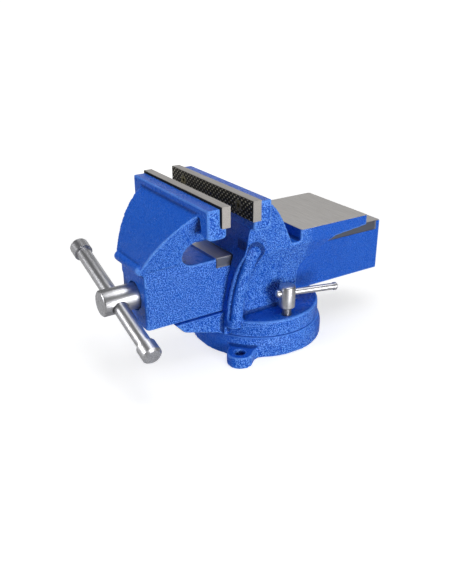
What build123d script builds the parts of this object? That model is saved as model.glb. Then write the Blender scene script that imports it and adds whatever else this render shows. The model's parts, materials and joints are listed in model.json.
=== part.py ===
from build123d import *
import os
from math import cos, radians, sin, sqrt

# Bench vise with an anvil, on a swivel base. Millimetres, +Z up.
# The origin is on the swivel axis at the underside of the base. The lead screw lies along Y:
# the handle and the moving jaw are at -Y, the anvil is at +Y.

# --- jaw plates -----------------------------------------------------------------------------
JAW_WIDTH = 125.0  # the nominal size of the vise
PLATE_THICK = 8.0
PLATE_TALL = 16.2
PLATE_PROUD_TOP = 1.8  # how far a plate stands above its casting
PLATE_PROUD_END = 1.7  # how far it stands past each end of its casting
PLATE_EDGE = 0.4
PLATE_SEAT_GAP = 0.1  # between a plate and the lip of the casting under it
PLATE_SCREW_IN = 20.2  # from the end of the plate
PLATE_SCREW_UP = 8.1  # from the plate's lower edge
PLATE_SCREW_R = 2.5
PLATE_SCREW_HEAD_R = 4.4
PLATE_SCREW_BITE = 9.0  # length in the casting
PLATE_SCREW_SINK = 0.3  # head below the gripping face
HEX_R = 1.75
HEX_DEEP = 1.8

# --- jaw opening and heads --------------------------------------------------------------------
FIXED_FACE_Y = -48.1  # gripping face of the fixed plate
JAW_GAP = 18.8  # opening between the plates as stored
JAW_OPEN = 125.0  # widest opening
JAW_RISE = 55.5  # top of the heads above the top of the beam
HEAD_THICK = 10.7
HEAD_TALL = 23.0
HEAD_ROUND = 3.0
LEDGE_REACH = 5.3  # lip of the casting under a plate

# --- fans: the curved backs that carry the heads ----------------------------------------------
MOVING_FAN_DROP = 6.0  # below the top of the head
FIXED_FAN_DROP = 3.0
FAN_REACH = 37.7
FAN_FOOT_RISE = 2.5  # foot above the top of the beam
FAN_BULGE = 5.5
FAN_SKIRT = 10.0  # how deep a fan is sunk in what carries it
MOVING_FAN_INSET = 13.1  # from the end of the head
MOVING_FAN_DIP = 0.5
RELIEF_INSET = 8.3  # foot of the hollow beside the fan, from the end of the head
RELIEF_DEEP = 4.0
FIXED_FAN_INSET = 2.3
FIXED_FAN_DIP = 3.6
BEAD_R = 4.0
BEAD_OUT = 2.4  # centre of the bead in front of the beam
BEAD_RISE = 4.0  # centre of the bead above the top of the beam
SCOOP_R = 12.0  # round hollow between the moving head and the beam
SCOOP_BACK = 0.65  # centre of the hollow in front of the plate's seat
SCOOP_TOP_ANGLE = 75.0

# --- slide beam of the moving jaw -------------------------------------------------------------
BEAM_WIDTH = 43.0
BEAM_TALL = 48.1
BEAM_LONG = 243.6
BEAM_NOSE = 33.45  # front wall in front of the moving head
BEAM_CORNER = 3.0
BEAM_WALL = 6.0
BEAM_ROOF = 8.0
BEAM_FRONT_WALL = 14.0
CAST_STEP = 0.8  # unmachined skin against the machined faces
MACHINED_AHEAD = 6.5  # start of the machined faces in front of the fixed plate
MACHINED_END_LIP = 4.5
MACHINED_STRIP_TALL = 8.5

# --- fixed jaw body ---------------------------------------------------------------------------
SLIDE_GAP = 0.4
WALL_THICK = 5.4
WALL_STRAIGHT = 13.3  # height of the flat part of a side wall
WALL_WAIST_RISE = 38.3
WALL_WAIST_OUT = 3.7
WALL_FRONT_AHEAD = 2.9  # foot of the walls in front of the fixed plate
WALL_MID_BACK = 2.1
WALL_MID_RISE = 28.3
WALL_NECK_BACK = 11.1
WALL_NECK_RISE = 65.3
WALL_REAR_Y = 23.5
ARCH_FOOT_RISE = 33.5  # bend at the rear of a wall above the flange
ARCH_LONG = 30.5  # from the rear of a wall to where the arch meets the anvil
ARCH_R = 12.0
ANVIL_WIDTH = 81.0
ANVIL_RISE = 16.6  # anvil face above the top of the beam
ANVIL_THICK = 9.5  # at its rear edge
ANVIL_ROOT_THICK = 12.8  # where the arch meets it
ANVIL_LONG = 72.9
ANVIL_BEHIND = 45.6  # front edge of the anvil behind the fixed head
NOTCH_DEEP = 10.1
NECK_FLARE_RISE = 14.5
FLARE_R = 15.0  # hollow curve under the ends of the fixed head
RIB_R = 7.5
RIB_SINK = 6.0  # the rib's lower end is inside the flange
RIB_FOOT = (2.7, 4.6)  # outwards from the wall, and back from the fixed plate
RIB_MID = (3.7, 8.8, 30.3)
RIB_TOP = (7.3, 17.9, 58.3)

# --- flange, tongue and swivel base -----------------------------------------------------------
FLANGE_IN = 3.2  # edge of the flange inside the edge of the base
FLANGE_TALL = 14.1
FLANGE_ROUND = 1.5
FLOOR_RISE = 5.3  # floor under the beam above the flange
TONGUE_AHEAD = 46.9  # tip in front of the fixed plate
TONGUE_SLOPE = 8.0
TONGUE_NOSE_TALL = 8.7
TONGUE_MARGIN = 2.5  # past each side of the beam
BASE_R = 58.0
BASE_TALL = 17.5
BASE_SHOULDER_IN = 2.4
BASE_SHOULDER_BOW = 0.9
BASE_RIM_TALL = 6.5
SWIVEL_GAP = 0.1
LUG_ANGLES = (-46.0, 134.0)
LUG_HOLE_OUT = 9.8  # bolt hole outside the round of the base
LUG_END_R = 11.0
LUG_TALL = 10.0
LUG_BLEND_R = 9.0
LUG_HOLE_R = 4.7
SLOT_IN = 9.8  # lock bolts inside the edge of the flange
SLOT_HALF = 4.8
CAVITY_HALF = 8.5
CAVITY_FLOOR = 4.0
CAVITY_TALL = 7.0
ENTRY_HALF = 12.0  # window that the lock nuts go in by
RECESS_R = 24.0
HUB_THICK = 8.0

# --- fits -------------------------------------------------------------------------------------
RUN_GAP = 0.1  # radial, where one piece turns or slides in another
STILL_GAP = 0.05  # radial, where a pin sits in its hole
FACE_GAP = 0.1  # between faces that turn on each other
HOLE_SPARE = 1.0  # depth past the tip of a screw
CUT_PAST = 5.0  # how far a cutting shape runs out of what it cuts

# --- lead screw and what holds it -------------------------------------------------------------
SCREW_RISE = 23.6  # axis above the underside of the beam
SCREW_HEAD_R = 10.75
SCREW_HEAD_LONG = 29.0  # in front of the beam
SCREW_HEAD_CHAMFER = 1.6
SCREW_R = 9.0
SCREW_SPARE = 9.5  # thread left behind the nut at the widest opening
SCREW_TIP_CHAMFER = 2.5
SCREW_RING_R = 12.0  # counterbore round the head
SCREW_RING_DEEP = 3.0
WASHER_R = 13.5
WASHER_THICK = 2.0
COLLAR_R = 13.0
COLLAR_LONG = 11.0
COLLAR_PIN_R = 2.5
NUT_MID_Y = -24.0
NUT_LONG = 30.0
NUT_SIDE_GAP = 1.5
NUT_TOP_GAP = 3.0
NUT_CHAMFER = 5.0
NUT_BOLT_R = 5.0
NUT_BOLT_BITE = 12.5
NUT_BOLT_HEAD_R = 8.0
NUT_BOLT_HEAD_TALL = 8.0
NUT_BOLT_HEX_R = 4.6
NUT_BOLT_HEX_DEEP = 4.0
NUT_WASHER_R = 9.6
NUT_WASHER_THICK = 1.8
NUT_BORE_GAP = 0.9
NUT_BORE_DEEP = 11.0

# --- handle bar -------------------------------------------------------------------------------
HANDLE_AHEAD = 16.3  # in front of the beam
HANDLE_TILT = 17.8  # degrees: the right end hangs down
HANDLE_R = 6.0
HANDLE_LOW_END = 66.8
HANDLE_HIGH_END = 76.6
HANDLE_CAP_R = 7.9
HANDLE_CAP_LONG = 12.0
HANDLE_CAP_WALL = 3.5
HANDLE_CAP_TAPER = 1.8
HANDLE_MOUTH = 1.0

# --- lock bolts -------------------------------------------------------------------------------
LOCK_HEAD_R = 6.9
LOCK_HEAD_RISE = 5.9  # head above the flange
LOCK_HEAD_TALL = 20.2
LOCK_HEAD_CHAMFER = 1.2
LOCK_R = 4.0
LOCK_NUT_HALF = 11.0
LOCK_NUT_GAP = 0.4
LOCK_BAR_UP = 13.4  # bar above the lower end of the head
LOCK_BAR_ANGLE = 75.0
LOCK_BAR_R = 2.9
LOCK_BAR_BACK = 45.4
LOCK_BAR_FRONT = 10.4
LOCK_CAP_R = 3.4
LOCK_CAP_LONG = 3.4
LOCK_CAP_WALL = 1.4
LOCK_CAP_TAPER = 1.0

# --- pivot bolt -------------------------------------------------------------------------------
PIVOT_R = 8.0
PIVOT_THREAD_R = 6.0
PIVOT_BITE = 13.0
PIVOT_HEAD_R = 14.0
PIVOT_HEAD_TALL = 6.5
PIVOT_WASHER_R = 17.0
PIVOT_WASHER_THICK = 1.5

# --- heights, worked out from the base upwards ------------------------------------------------
FLANGE_BOTTOM_Z = BASE_TALL + SWIVEL_GAP
FLANGE_TOP_Z = FLANGE_BOTTOM_Z + FLANGE_TALL
SLIDE_FLOOR_Z = FLANGE_TOP_Z + FLOOR_RISE
BEAM_BOTTOM_Z = SLIDE_FLOOR_Z + SLIDE_GAP
BEAM_TOP_Z = BEAM_BOTTOM_Z + BEAM_TALL
CAST_TOP_Z = BEAM_TOP_Z - CAST_STEP
CHANNEL_TOP_Z = BEAM_TOP_Z - BEAM_ROOF
SCREW_Z = BEAM_BOTTOM_Z + SCREW_RISE
HEAD_TOP_Z = BEAM_TOP_Z + JAW_RISE
HEAD_BOTTOM_Z = HEAD_TOP_Z - HEAD_TALL
PLATE_TOP_Z = HEAD_TOP_Z + PLATE_PROUD_TOP
PLATE_BOTTOM_Z = PLATE_TOP_Z - PLATE_TALL
PLATE_SEAT_Z = PLATE_BOTTOM_Z - PLATE_SEAT_GAP
PLATE_SCREW_Z = PLATE_BOTTOM_Z + PLATE_SCREW_UP
MOVING_FAN_TOP_Z = HEAD_TOP_Z - MOVING_FAN_DROP
FIXED_FAN_TOP_Z = HEAD_TOP_Z - FIXED_FAN_DROP
FAN_FOOT_Z = BEAM_TOP_Z + FAN_FOOT_RISE
ANVIL_TOP_Z = BEAM_TOP_Z + ANVIL_RISE
ANVIL_UNDER_Z = ANVIL_TOP_Z - ANVIL_THICK
ANVIL_ROOT_Z = ANVIL_TOP_Z - ANVIL_ROOT_THICK
NOTCH_FLOOR_Z = ANVIL_TOP_Z - NOTCH_DEEP
NECK_FLARE_Z = BEAM_TOP_Z + NECK_FLARE_RISE
NUT_TOP_Z = CHANNEL_TOP_Z - NUT_TOP_GAP
NUT_WASHER_Z = FLANGE_BOTTOM_Z + NUT_BORE_DEEP - NUT_WASHER_THICK
HUB_BOTTOM_Z = BASE_TALL - HUB_THICK
PIVOT_WASHER_Z = HUB_BOTTOM_Z - FACE_GAP - PIVOT_WASHER_THICK
CAVITY_TOP_Z = CAVITY_FLOOR + CAVITY_TALL
LOCK_HEAD_BOTTOM_Z = FLANGE_TOP_Z + LOCK_HEAD_RISE
LOCK_BAR_Z = LOCK_HEAD_BOTTOM_Z + LOCK_BAR_UP

# --- places along the screw ---------------------------------------------------------------------
MOVING_FACE_Y = FIXED_FACE_Y - JAW_GAP
MOVING_SEAT_Y = MOVING_FACE_Y - PLATE_THICK
FIXED_SEAT_Y = FIXED_FACE_Y + PLATE_THICK
MOVING_HEAD_Y = MOVING_SEAT_Y - HEAD_THICK
FIXED_HEAD_Y = FIXED_SEAT_Y + HEAD_THICK
SCOOP_Y = MOVING_SEAT_Y - SCOOP_BACK
BEAM_FRONT_Y = MOVING_HEAD_Y - BEAM_NOSE
BEAM_REAR_Y = BEAM_FRONT_Y + BEAM_LONG
CHANNEL_FRONT_Y = BEAM_FRONT_Y + BEAM_FRONT_WALL
MACHINED_START_Y = FIXED_FACE_Y - MACHINED_AHEAD
WALL_FRONT_Y = FIXED_FACE_Y - WALL_FRONT_AHEAD
WALL_MID_Y = FIXED_FACE_Y + WALL_MID_BACK
NECK_FRONT_Y = FIXED_FACE_Y + WALL_NECK_BACK
ANVIL_FRONT_Y = FIXED_HEAD_Y + ANVIL_BEHIND
ANVIL_REAR_Y = ANVIL_FRONT_Y + ANVIL_LONG
TONGUE_TIP_Y = FIXED_FACE_Y - TONGUE_AHEAD
NUT_FRONT_Y = NUT_MID_Y - NUT_LONG / 2
NUT_REAR_Y = NUT_MID_Y + NUT_LONG / 2
SCREW_TIP_Y = NUT_REAR_Y + JAW_OPEN - JAW_GAP + SCREW_SPARE
SCREW_HEAD_BACK_Y = BEAM_FRONT_Y + SCREW_RING_DEEP - FACE_GAP
WASHER_Y = CHANNEL_FRONT_Y + FACE_GAP
COLLAR_Y = WASHER_Y + WASHER_THICK + FACE_GAP
COLLAR_PIN_Y = COLLAR_Y + COLLAR_LONG / 2
HANDLE_Y = BEAM_FRONT_Y - HANDLE_AHEAD

# --- half widths and radii ----------------------------------------------------------------------
HEAD_HALF = JAW_WIDTH / 2 - PLATE_PROUD_END
MOVING_FAN_HALF = HEAD_HALF - MOVING_FAN_INSET
FIXED_FAN_HALF = HEAD_HALF - FIXED_FAN_INSET
PLATE_SCREW_X = JAW_WIDTH / 2 - PLATE_SCREW_IN
BEAM_HALF = BEAM_WIDTH / 2
CHANNEL_HALF = BEAM_HALF - BEAM_WALL
NUT_HALF = CHANNEL_HALF - NUT_SIDE_GAP
WALL_HALF = BEAM_HALF + SLIDE_GAP + WALL_THICK
ANVIL_HALF = ANVIL_WIDTH / 2
TONGUE_HALF = BEAM_HALF + TONGUE_MARGIN
FLANGE_R = BASE_R - FLANGE_IN
SLOT_R = FLANGE_R - SLOT_IN
LUG_HOLE_CIRCLE_R = BASE_R + LUG_HOLE_OUT
NUT_BORE_R = NUT_WASHER_R + NUT_BORE_GAP


def outline(start, *steps):
    """A closed face. A step is a point for a straight run, or (via, end) for an arc."""
    edges, here = [], start
    for step in steps:
        if isinstance(step[0], tuple):
            edges.append(ThreePointArc(here, step[0], step[1]))
            here = step[1]
        else:
            edges.append(Line(here, step))
            here = step
    edges.append(Line(here, start))
    return make_face(edges)


def side_solid(face, half):
    """A (Y, Z) outline carried to both sides of X = 0."""
    return extrude(Plane.YZ * face, half, both=True)


def front_solid(face):
    """An (X, Z) outline carried past the whole length of the vise."""
    return extrude(Plane.XZ * face, BEAM_REAR_Y - BEAM_FRONT_Y, both=True)


def block(x, y, z):
    """A box between two values on each axis."""
    return Pos(x[0], y[0], z[0]) * Box(x[1] - x[0], y[1] - y[0], z[1] - z[0], align=Align.MIN)


def rod(radius, bottom, top):
    """A round bar along Z."""
    return Pos(0, 0, bottom) * Cylinder(
        radius, top - bottom, align=(Align.CENTER, Align.CENTER, Align.MIN)
    )


def along_y(shape, height):
    """Turns a shape made along Z so that it lies along +Y at that height."""
    return Pos(0, 0, height) * Rot(-90, 0, 0) * shape


def bowed_point(start, end, bow):
    """The middle of the line from start to end, moved to its left by bow."""
    run, rise = end[0] - start[0], end[1] - start[1]
    length = sqrt(run * run + rise * rise)
    return ((start[0] + end[0]) / 2 - rise / length * bow, (start[1] + end[1]) / 2 + run / length * bow)


def quarter_round(start, end, centre):
    """A quarter circle as an outline step."""
    via = [c + (a - c + b - c) / sqrt(2) for a, b, c in zip(start, end, centre)]
    return (tuple(via), end)


def mirrored_front(*right_side):
    """An (X, Z) outline from its right-hand half, given upwards as outline() steps."""

    def flip(point):
        return (-point[0], point[1])

    start, steps = right_side[0], right_side[1:]
    left, ends = [], [start] + [s[1] if isinstance(s[0], tuple) else s for s in steps]
    for step, before in zip(reversed(steps), reversed(ends[:-1])):
        left.append((flip(step[0]), flip(before)) if isinstance(step[0], tuple) else flip(before))
    return outline(start, *steps, flip(ends[-1]), *left)


# --- jaw heads, fans and plates ---------------------------------------------------------------


def jaw_head(seat_y, outward):
    """The cross block behind a plate, with its lip under the plate. outward is -1 or +1 along Y."""
    outer = seat_y + outward * HEAD_THICK
    lip = seat_y - outward * LEDGE_REACH
    profile = outline(
        (outer, HEAD_BOTTOM_Z),
        (outer, HEAD_TOP_Z),
        (seat_y, HEAD_TOP_Z),
        (seat_y, PLATE_SEAT_Z),
        (lip, PLATE_SEAT_Z),
        (lip, HEAD_BOTTOM_Z),
    )
    head = side_solid(profile, HEAD_HALF)
    low = head.edges().filter_by(Axis.X).group_by(Axis.Z)[0]
    return fillet(low, HEAD_ROUND)


def fan_arc(head_y, top_z, outward):
    """The curved back of a fan as one outline step, from the head's outer face to the foot."""
    top = (head_y, top_z)
    foot = (head_y + outward * FAN_REACH, FAN_FOOT_Z)
    return (bowed_point(top, foot, outward * FAN_BULGE), foot)


def fan_front(top, foot, dip):
    """The (X, Z) outline of a fan: wide at the head and narrow at the foot."""
    return (foot, (bowed_point(foot, top, dip), top), (top[0], HEAD_TOP_Z))


def plate_screw_spots(seat_y, outward):
    """The two screw places of a plate. Local Z points out of the gripping face."""
    turn = Rot(90, 0, 0) if outward > 0 else Rot(-90, 0, 0)
    return [Pos(x, seat_y, PLATE_SCREW_Z) * turn for x in (-PLATE_SCREW_X, PLATE_SCREW_X)]


def plate_screw_shape(gap):
    """A countersunk screw, or the room for it where gap is above 0. Z = 0 is the plate's seat."""
    head_top = PLATE_THICK - PLATE_SCREW_SINK
    head_tall = PLATE_SCREW_HEAD_R - PLATE_SCREW_R
    shank = rod(PLATE_SCREW_R + gap, -PLATE_SCREW_BITE - gap, head_top)
    cone = Pos(0, 0, head_top - head_tall / 2) * Cone(
        PLATE_SCREW_R + gap, PLATE_SCREW_HEAD_R + gap, head_tall
    )
    return shank + cone


def jaw_plate(seat_y, outward):
    """A hardened plate, with its gripping face away from the casting."""
    face_y = seat_y - outward * PLATE_THICK
    plate = block(
        (-JAW_WIDTH / 2, JAW_WIDTH / 2),
        (min(seat_y, face_y), max(seat_y, face_y)),
        (PLATE_BOTTOM_Z, PLATE_TOP_Z),
    )
    plate = chamfer(plate.edges(), PLATE_EDGE)
    for spot in plate_screw_spots(seat_y, outward):
        plate -= spot * plate_screw_shape(STILL_GAP)
        plate -= spot * rod(
            PLATE_SCREW_HEAD_R + STILL_GAP, PLATE_THICK - PLATE_SCREW_SINK, PLATE_THICK
        )
    return plate


def jaw_plate_screws(seat_y, outward):
    """The two countersunk screws of a plate, each with a hexagon socket."""
    head_top = PLATE_THICK - PLATE_SCREW_SINK
    socket = Pos(0, 0, head_top - HEX_DEEP) * extrude(RegularPolygon(HEX_R, 6), HEX_DEEP)
    screw = plate_screw_shape(0) - socket
    return Compound(children=[spot * screw for spot in plate_screw_spots(seat_y, outward)])


def screw_holes(seat_y, outward):
    """The tapped holes for a plate's screws."""
    return [spot * plate_screw_shape(STILL_GAP) for spot in plate_screw_spots(seat_y, outward)]


# --- moving jaw -------------------------------------------------------------------------------


def moving_fan():
    """The back of the moving jaw: a curved skin and webs that widen from the beam to the head."""
    scoop_z = CAST_TOP_Z + SCOOP_R
    scoop_top = (
        SCOOP_Y + SCOOP_R * cos(radians(SCOOP_TOP_ANGLE)),
        scoop_z + SCOOP_R * sin(radians(SCOOP_TOP_ANGLE)),
    )
    lip_y = MOVING_SEAT_Y + LEDGE_REACH
    side = outline(
        (MOVING_HEAD_Y, MOVING_FAN_TOP_Z),
        fan_arc(MOVING_HEAD_Y, MOVING_FAN_TOP_Z, -1),
        (BEAM_FRONT_Y, FAN_FOOT_Z - BEAD_R),
        (BEAM_FRONT_Y, CAST_TOP_Z - FAN_SKIRT),
        (SCOOP_Y, CAST_TOP_Z - FAN_SKIRT),
        (SCOOP_Y, CAST_TOP_Z),
        ((SCOOP_Y - SCOOP_R, scoop_z), scoop_top),
        (lip_y, scoop_top[1] + (lip_y - scoop_top[0])),
        (lip_y, PLATE_SEAT_Z),
        (MOVING_SEAT_Y, PLATE_SEAT_Z),
        (MOVING_SEAT_Y, HEAD_TOP_Z),
        (MOVING_HEAD_Y, HEAD_TOP_Z),
    )
    front = mirrored_front(
        (BEAM_HALF, CAST_TOP_Z - FAN_SKIRT),
        *fan_front((MOVING_FAN_HALF, MOVING_FAN_TOP_Z), (BEAM_HALF, FAN_FOOT_Z), MOVING_FAN_DIP),
    )
    return side_solid(side, HEAD_HALF) & front_solid(front)


def head_relief(side):
    """The hollow in the front of the moving head beside the web of its fan."""
    hollow = outline(
        (side * MOVING_FAN_HALF, MOVING_FAN_TOP_Z),
        (side * (HEAD_HALF - RELIEF_INSET), HEAD_BOTTOM_Z - CUT_PAST),
        (side * BEAM_HALF, HEAD_BOTTOM_Z - CUT_PAST),
    )
    return Pos(0, MOVING_HEAD_Y + RELIEF_DEEP, 0) * extrude(Plane.XZ * hollow, RELIEF_DEEP + CUT_PAST)


def beam():
    """The slide: an upside-down channel with a thick front wall and machined top and side strips."""
    solid = block((-BEAM_HALF, BEAM_HALF), (BEAM_FRONT_Y, BEAM_REAR_Y), (BEAM_BOTTOM_Z, BEAM_TOP_Z))
    uprights = solid.edges().filter_by(Axis.Z).group_by(Axis.Y)[0]
    solid = fillet(uprights, BEAM_CORNER)
    solid -= block(
        (-BEAM_HALF, BEAM_HALF), (BEAM_FRONT_Y, MACHINED_START_Y), (CAST_TOP_Z, BEAM_TOP_Z)
    )
    for side in (-1, 1):
        strip = block(
            (0, CAST_STEP),
            (MACHINED_START_Y, BEAM_REAR_Y - MACHINED_END_LIP),
            (BEAM_TOP_Z - MACHINED_STRIP_TALL, BEAM_TOP_Z),
        )
        solid -= Pos(side * (BEAM_HALF - CAST_STEP / 2) - CAST_STEP / 2, 0, 0) * strip
    return solid - block(
        (-CHANNEL_HALF, CHANNEL_HALF), (CHANNEL_FRONT_Y, BEAM_REAR_Y), (BEAM_BOTTOM_Z, CHANNEL_TOP_Z)
    )


def bead():
    """The roll that closes the foot of the moving fan."""
    roll = Rot(0, 90, 0) * Cylinder(BEAD_R, BEAM_WIDTH)
    roll = fillet(roll.edges(), BEAD_R / 2)
    return Pos(0, BEAM_FRONT_Y - BEAD_OUT, BEAM_TOP_Z + BEAD_RISE) * roll


def moving_jaw():
    """Moving jaw casting: head, fan, bead and slide beam."""
    head = jaw_head(MOVING_SEAT_Y, -1)
    for side in (-1, 1):
        head -= head_relief(side)
    casting = beam() + moving_fan() + head + bead()
    casting -= along_y(rod(SCREW_R + RUN_GAP, BEAM_FRONT_Y, CHANNEL_FRONT_Y), SCREW_Z)
    casting -= along_y(rod(SCREW_RING_R, BEAM_FRONT_Y, BEAM_FRONT_Y + SCREW_RING_DEEP), SCREW_Z)
    for hole in screw_holes(MOVING_SEAT_Y, -1):
        casting -= hole
    return casting


# --- fixed jaw --------------------------------------------------------------------------------


def fixed_body():
    """Side walls, neck, fan and anvil in one shape, still without the slot for the beam."""
    neck = (NECK_FRONT_Y, FLANGE_TOP_Z + WALL_NECK_RISE)
    arch_foot = (WALL_REAR_Y, FLANGE_TOP_Z + ARCH_FOOT_RISE)
    walls = outline(
        (WALL_FRONT_Y, FLANGE_BOTTOM_Z),
        (WALL_FRONT_Y, FLANGE_TOP_Z),
        ((WALL_MID_Y, FLANGE_TOP_Z + WALL_MID_RISE), neck),
        (NECK_FRONT_Y, HEAD_BOTTOM_Z),
        (FIXED_HEAD_Y, HEAD_BOTTOM_Z),
        (FIXED_HEAD_Y, NOTCH_FLOOR_Z),
        (ANVIL_FRONT_Y, NOTCH_FLOOR_Z),
        (ANVIL_FRONT_Y, ANVIL_TOP_Z),
        (ANVIL_REAR_Y, ANVIL_TOP_Z),
        (ANVIL_REAR_Y, ANVIL_UNDER_Z),
        (WALL_REAR_Y + ARCH_LONG, ANVIL_ROOT_Z),
        arch_foot,
        (WALL_REAR_Y, FLANGE_BOTTOM_Z),
    )
    walls = fillet(walls.vertices().sort_by_distance(Vector(*arch_foot))[0], ARCH_R)
    fan = outline(
        neck,
        (NECK_FRONT_Y, HEAD_BOTTOM_Z),
        (FIXED_SEAT_Y, HEAD_BOTTOM_Z),
        (FIXED_SEAT_Y, HEAD_TOP_Z),
        (FIXED_HEAD_Y, HEAD_TOP_Z),
        (FIXED_HEAD_Y, FIXED_FAN_TOP_Z),
        fan_arc(FIXED_HEAD_Y, FIXED_FAN_TOP_Z, 1),
        (NECK_FRONT_Y, FAN_FOOT_Z),
    )
    waist = (WALL_HALF + WALL_WAIST_OUT, FLANGE_TOP_Z + WALL_WAIST_RISE)
    front = mirrored_front(
        (WALL_HALF, FLANGE_BOTTOM_Z),
        (WALL_HALF, FLANGE_TOP_Z + WALL_STRAIGHT),
        (waist, (ANVIL_HALF, ANVIL_ROOT_Z)),
        *fan_front((FIXED_FAN_HALF, FIXED_FAN_TOP_Z), (ANVIL_HALF, NECK_FLARE_Z), FIXED_FAN_DIP),
    )
    sides = side_solid(walls, HEAD_HALF) + side_solid(fan, HEAD_HALF)
    return sides & front_solid(front) + neck_flare()


def neck_flare():
    """The hollow curves that widen the neck to the ends of the fixed head."""
    foot = (ANVIL_HALF, HEAD_BOTTOM_Z - FLARE_R)
    top = (ANVIL_HALF + FLARE_R, HEAD_BOTTOM_Z)
    curve = quarter_round(foot, top, (top[0], foot[1]))
    face = mirrored_front(foot, curve, (top[0], HEAD_BOTTOM_Z + HEAD_ROUND))
    gusset = extrude(Plane.XZ * face, FIXED_HEAD_Y - NECK_FRONT_Y)
    return Pos(0, FIXED_HEAD_Y, 0) * gusset


def rib(side):
    """A half-round rib up the front of a side wall, with a domed end."""
    foot, middle, top = [
        (WALL_HALF + spot[0], FIXED_FACE_Y + spot[1], FLANGE_TOP_Z + spot[2])
        for spot in ((*RIB_FOOT, -RIB_SINK), RIB_MID, RIB_TOP)
    ]
    path = ThreePointArc(foot, middle, top)
    swept = sweep(Plane(origin=foot, z_dir=path % 0) * Circle(RIB_R), path=path)
    solid = swept + Pos(top) * Sphere(RIB_R)
    return solid if side > 0 else mirror(solid, Plane.YZ)


def tongue():
    """The shelf under the beam, from its sloped tip to the rear of the walls."""
    profile = outline(
        (TONGUE_TIP_Y, SLIDE_FLOOR_Z),
        (WALL_REAR_Y, SLIDE_FLOOR_Z),
        (WALL_REAR_Y, FLANGE_BOTTOM_Z),
        (-sqrt(FLANGE_R**2 - TONGUE_HALF**2), FLANGE_BOTTOM_Z),
        (TONGUE_TIP_Y + TONGUE_SLOPE, SLIDE_FLOOR_Z - TONGUE_NOSE_TALL),
    )
    return side_solid(profile, TONGUE_HALF)


def flange():
    """The round foot of the fixed jaw."""
    disc = rod(FLANGE_R, FLANGE_BOTTOM_Z, FLANGE_TOP_Z)
    return fillet(disc.edges().group_by(Axis.Z)[-1], FLANGE_ROUND)


def fixed_jaw():
    """Fixed jaw casting: flange, tongue, side walls, ribs, neck, head and anvil."""
    casting = fixed_body() + jaw_head(FIXED_SEAT_Y, 1) + flange() + tongue()
    for side in (-1, 1):
        casting += rib(side)
    slot_half = BEAM_HALF + SLIDE_GAP
    casting -= block(
        (-slot_half, slot_half),
        (BEAM_FRONT_Y, BEAM_REAR_Y),
        (SLIDE_FLOOR_Z, BEAM_TOP_Z + SLIDE_GAP),
    )
    pivot_tip = FLANGE_BOTTOM_Z + PIVOT_BITE
    casting -= rod(PIVOT_THREAD_R + STILL_GAP, FLANGE_BOTTOM_Z, pivot_tip + HOLE_SPARE)
    casting -= Pos(0, NUT_MID_Y, 0) * rod(NUT_BOLT_R + STILL_GAP, FLANGE_BOTTOM_Z, SLIDE_FLOOR_Z)
    casting -= Pos(0, NUT_MID_Y, 0) * rod(
        NUT_BORE_R, FLANGE_BOTTOM_Z, FLANGE_BOTTOM_Z + NUT_BORE_DEEP
    )
    for x in (-SLOT_R, SLOT_R):
        casting -= Pos(x, 0, 0) * rod(LOCK_R + RUN_GAP, FLANGE_BOTTOM_Z, FLANGE_TOP_Z)
    for hole in screw_holes(FIXED_SEAT_Y, 1):
        casting -= hole
    return casting


# --- swivel base ------------------------------------------------------------------------------


def swivel_base():
    """The foot: a round casting with two bolt lugs and a ring slot that holds the lock nuts."""
    rim = (BASE_R, BASE_RIM_TALL)
    shoulder = (BASE_R - BASE_SHOULDER_IN, BASE_TALL)
    section = outline(
        (0, 0),
        (BASE_R, 0),
        rim,
        (bowed_point(rim, shoulder, -BASE_SHOULDER_BOW), shoulder),
        (0, BASE_TALL),
    )
    casting = revolve(Plane.XZ * section, Axis.Z)
    reach = LUG_HOLE_CIRCLE_R
    plan = Circle(BASE_R)
    for angle in LUG_ANGLES:
        plan += Rot(0, 0, angle) * (
            Pos(reach / 2, 0) * Rectangle(reach, 2 * LUG_END_R) + Pos(reach, 0) * Circle(LUG_END_R)
        )
    by_reach = plan.vertices().sort_by(lambda corner: corner.center().length)
    casting += extrude(fillet(by_reach[: 2 * len(LUG_ANGLES)], LUG_BLEND_R), LUG_TALL)
    for angle in LUG_ANGLES:
        casting -= Rot(0, 0, angle) * Pos(reach, 0, 0) * rod(LUG_HOLE_R, 0, LUG_TALL)
    casting -= ring(SLOT_HALF, CAVITY_FLOOR, BASE_TALL)
    casting -= ring(CAVITY_HALF, CAVITY_FLOOR, CAVITY_TOP_Z)
    casting -= block(
        (-ENTRY_HALF, ENTRY_HALF), (SLOT_R - CAVITY_HALF, SLOT_R + CAVITY_HALF), (0, CAVITY_TOP_Z)
    )
    casting -= rod(RECESS_R, 0, HUB_BOTTOM_Z)
    return casting - rod(PIVOT_R + RUN_GAP, HUB_BOTTOM_Z, BASE_TALL)


def ring(half, bottom, top):
    """A ring about the swivel axis, on the circle of the lock bolts."""
    return rod(SLOT_R + half, bottom, top) - rod(SLOT_R - half, bottom, top)


def pivot_bolt():
    """The shoulder bolt that the fixed jaw turns with, in the hub of the base."""
    head = extrude(RegularPolygon(PIVOT_HEAD_R, 6), PIVOT_HEAD_TALL)
    bolt = Pos(0, 0, PIVOT_WASHER_Z - PIVOT_HEAD_TALL) * head
    bolt += rod(PIVOT_R, PIVOT_WASHER_Z, FLANGE_BOTTOM_Z)
    return bolt + rod(PIVOT_THREAD_R, FLANGE_BOTTOM_Z, FLANGE_BOTTOM_Z + PIVOT_BITE)


def pivot_washer():
    """The washer between the pivot bolt's head and the hub."""
    top = PIVOT_WASHER_Z + PIVOT_WASHER_THICK
    return rod(PIVOT_WASHER_R, PIVOT_WASHER_Z, top) - rod(PIVOT_R + STILL_GAP, PIVOT_WASHER_Z, top)


# --- lead screw and its nut -------------------------------------------------------------------


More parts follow.
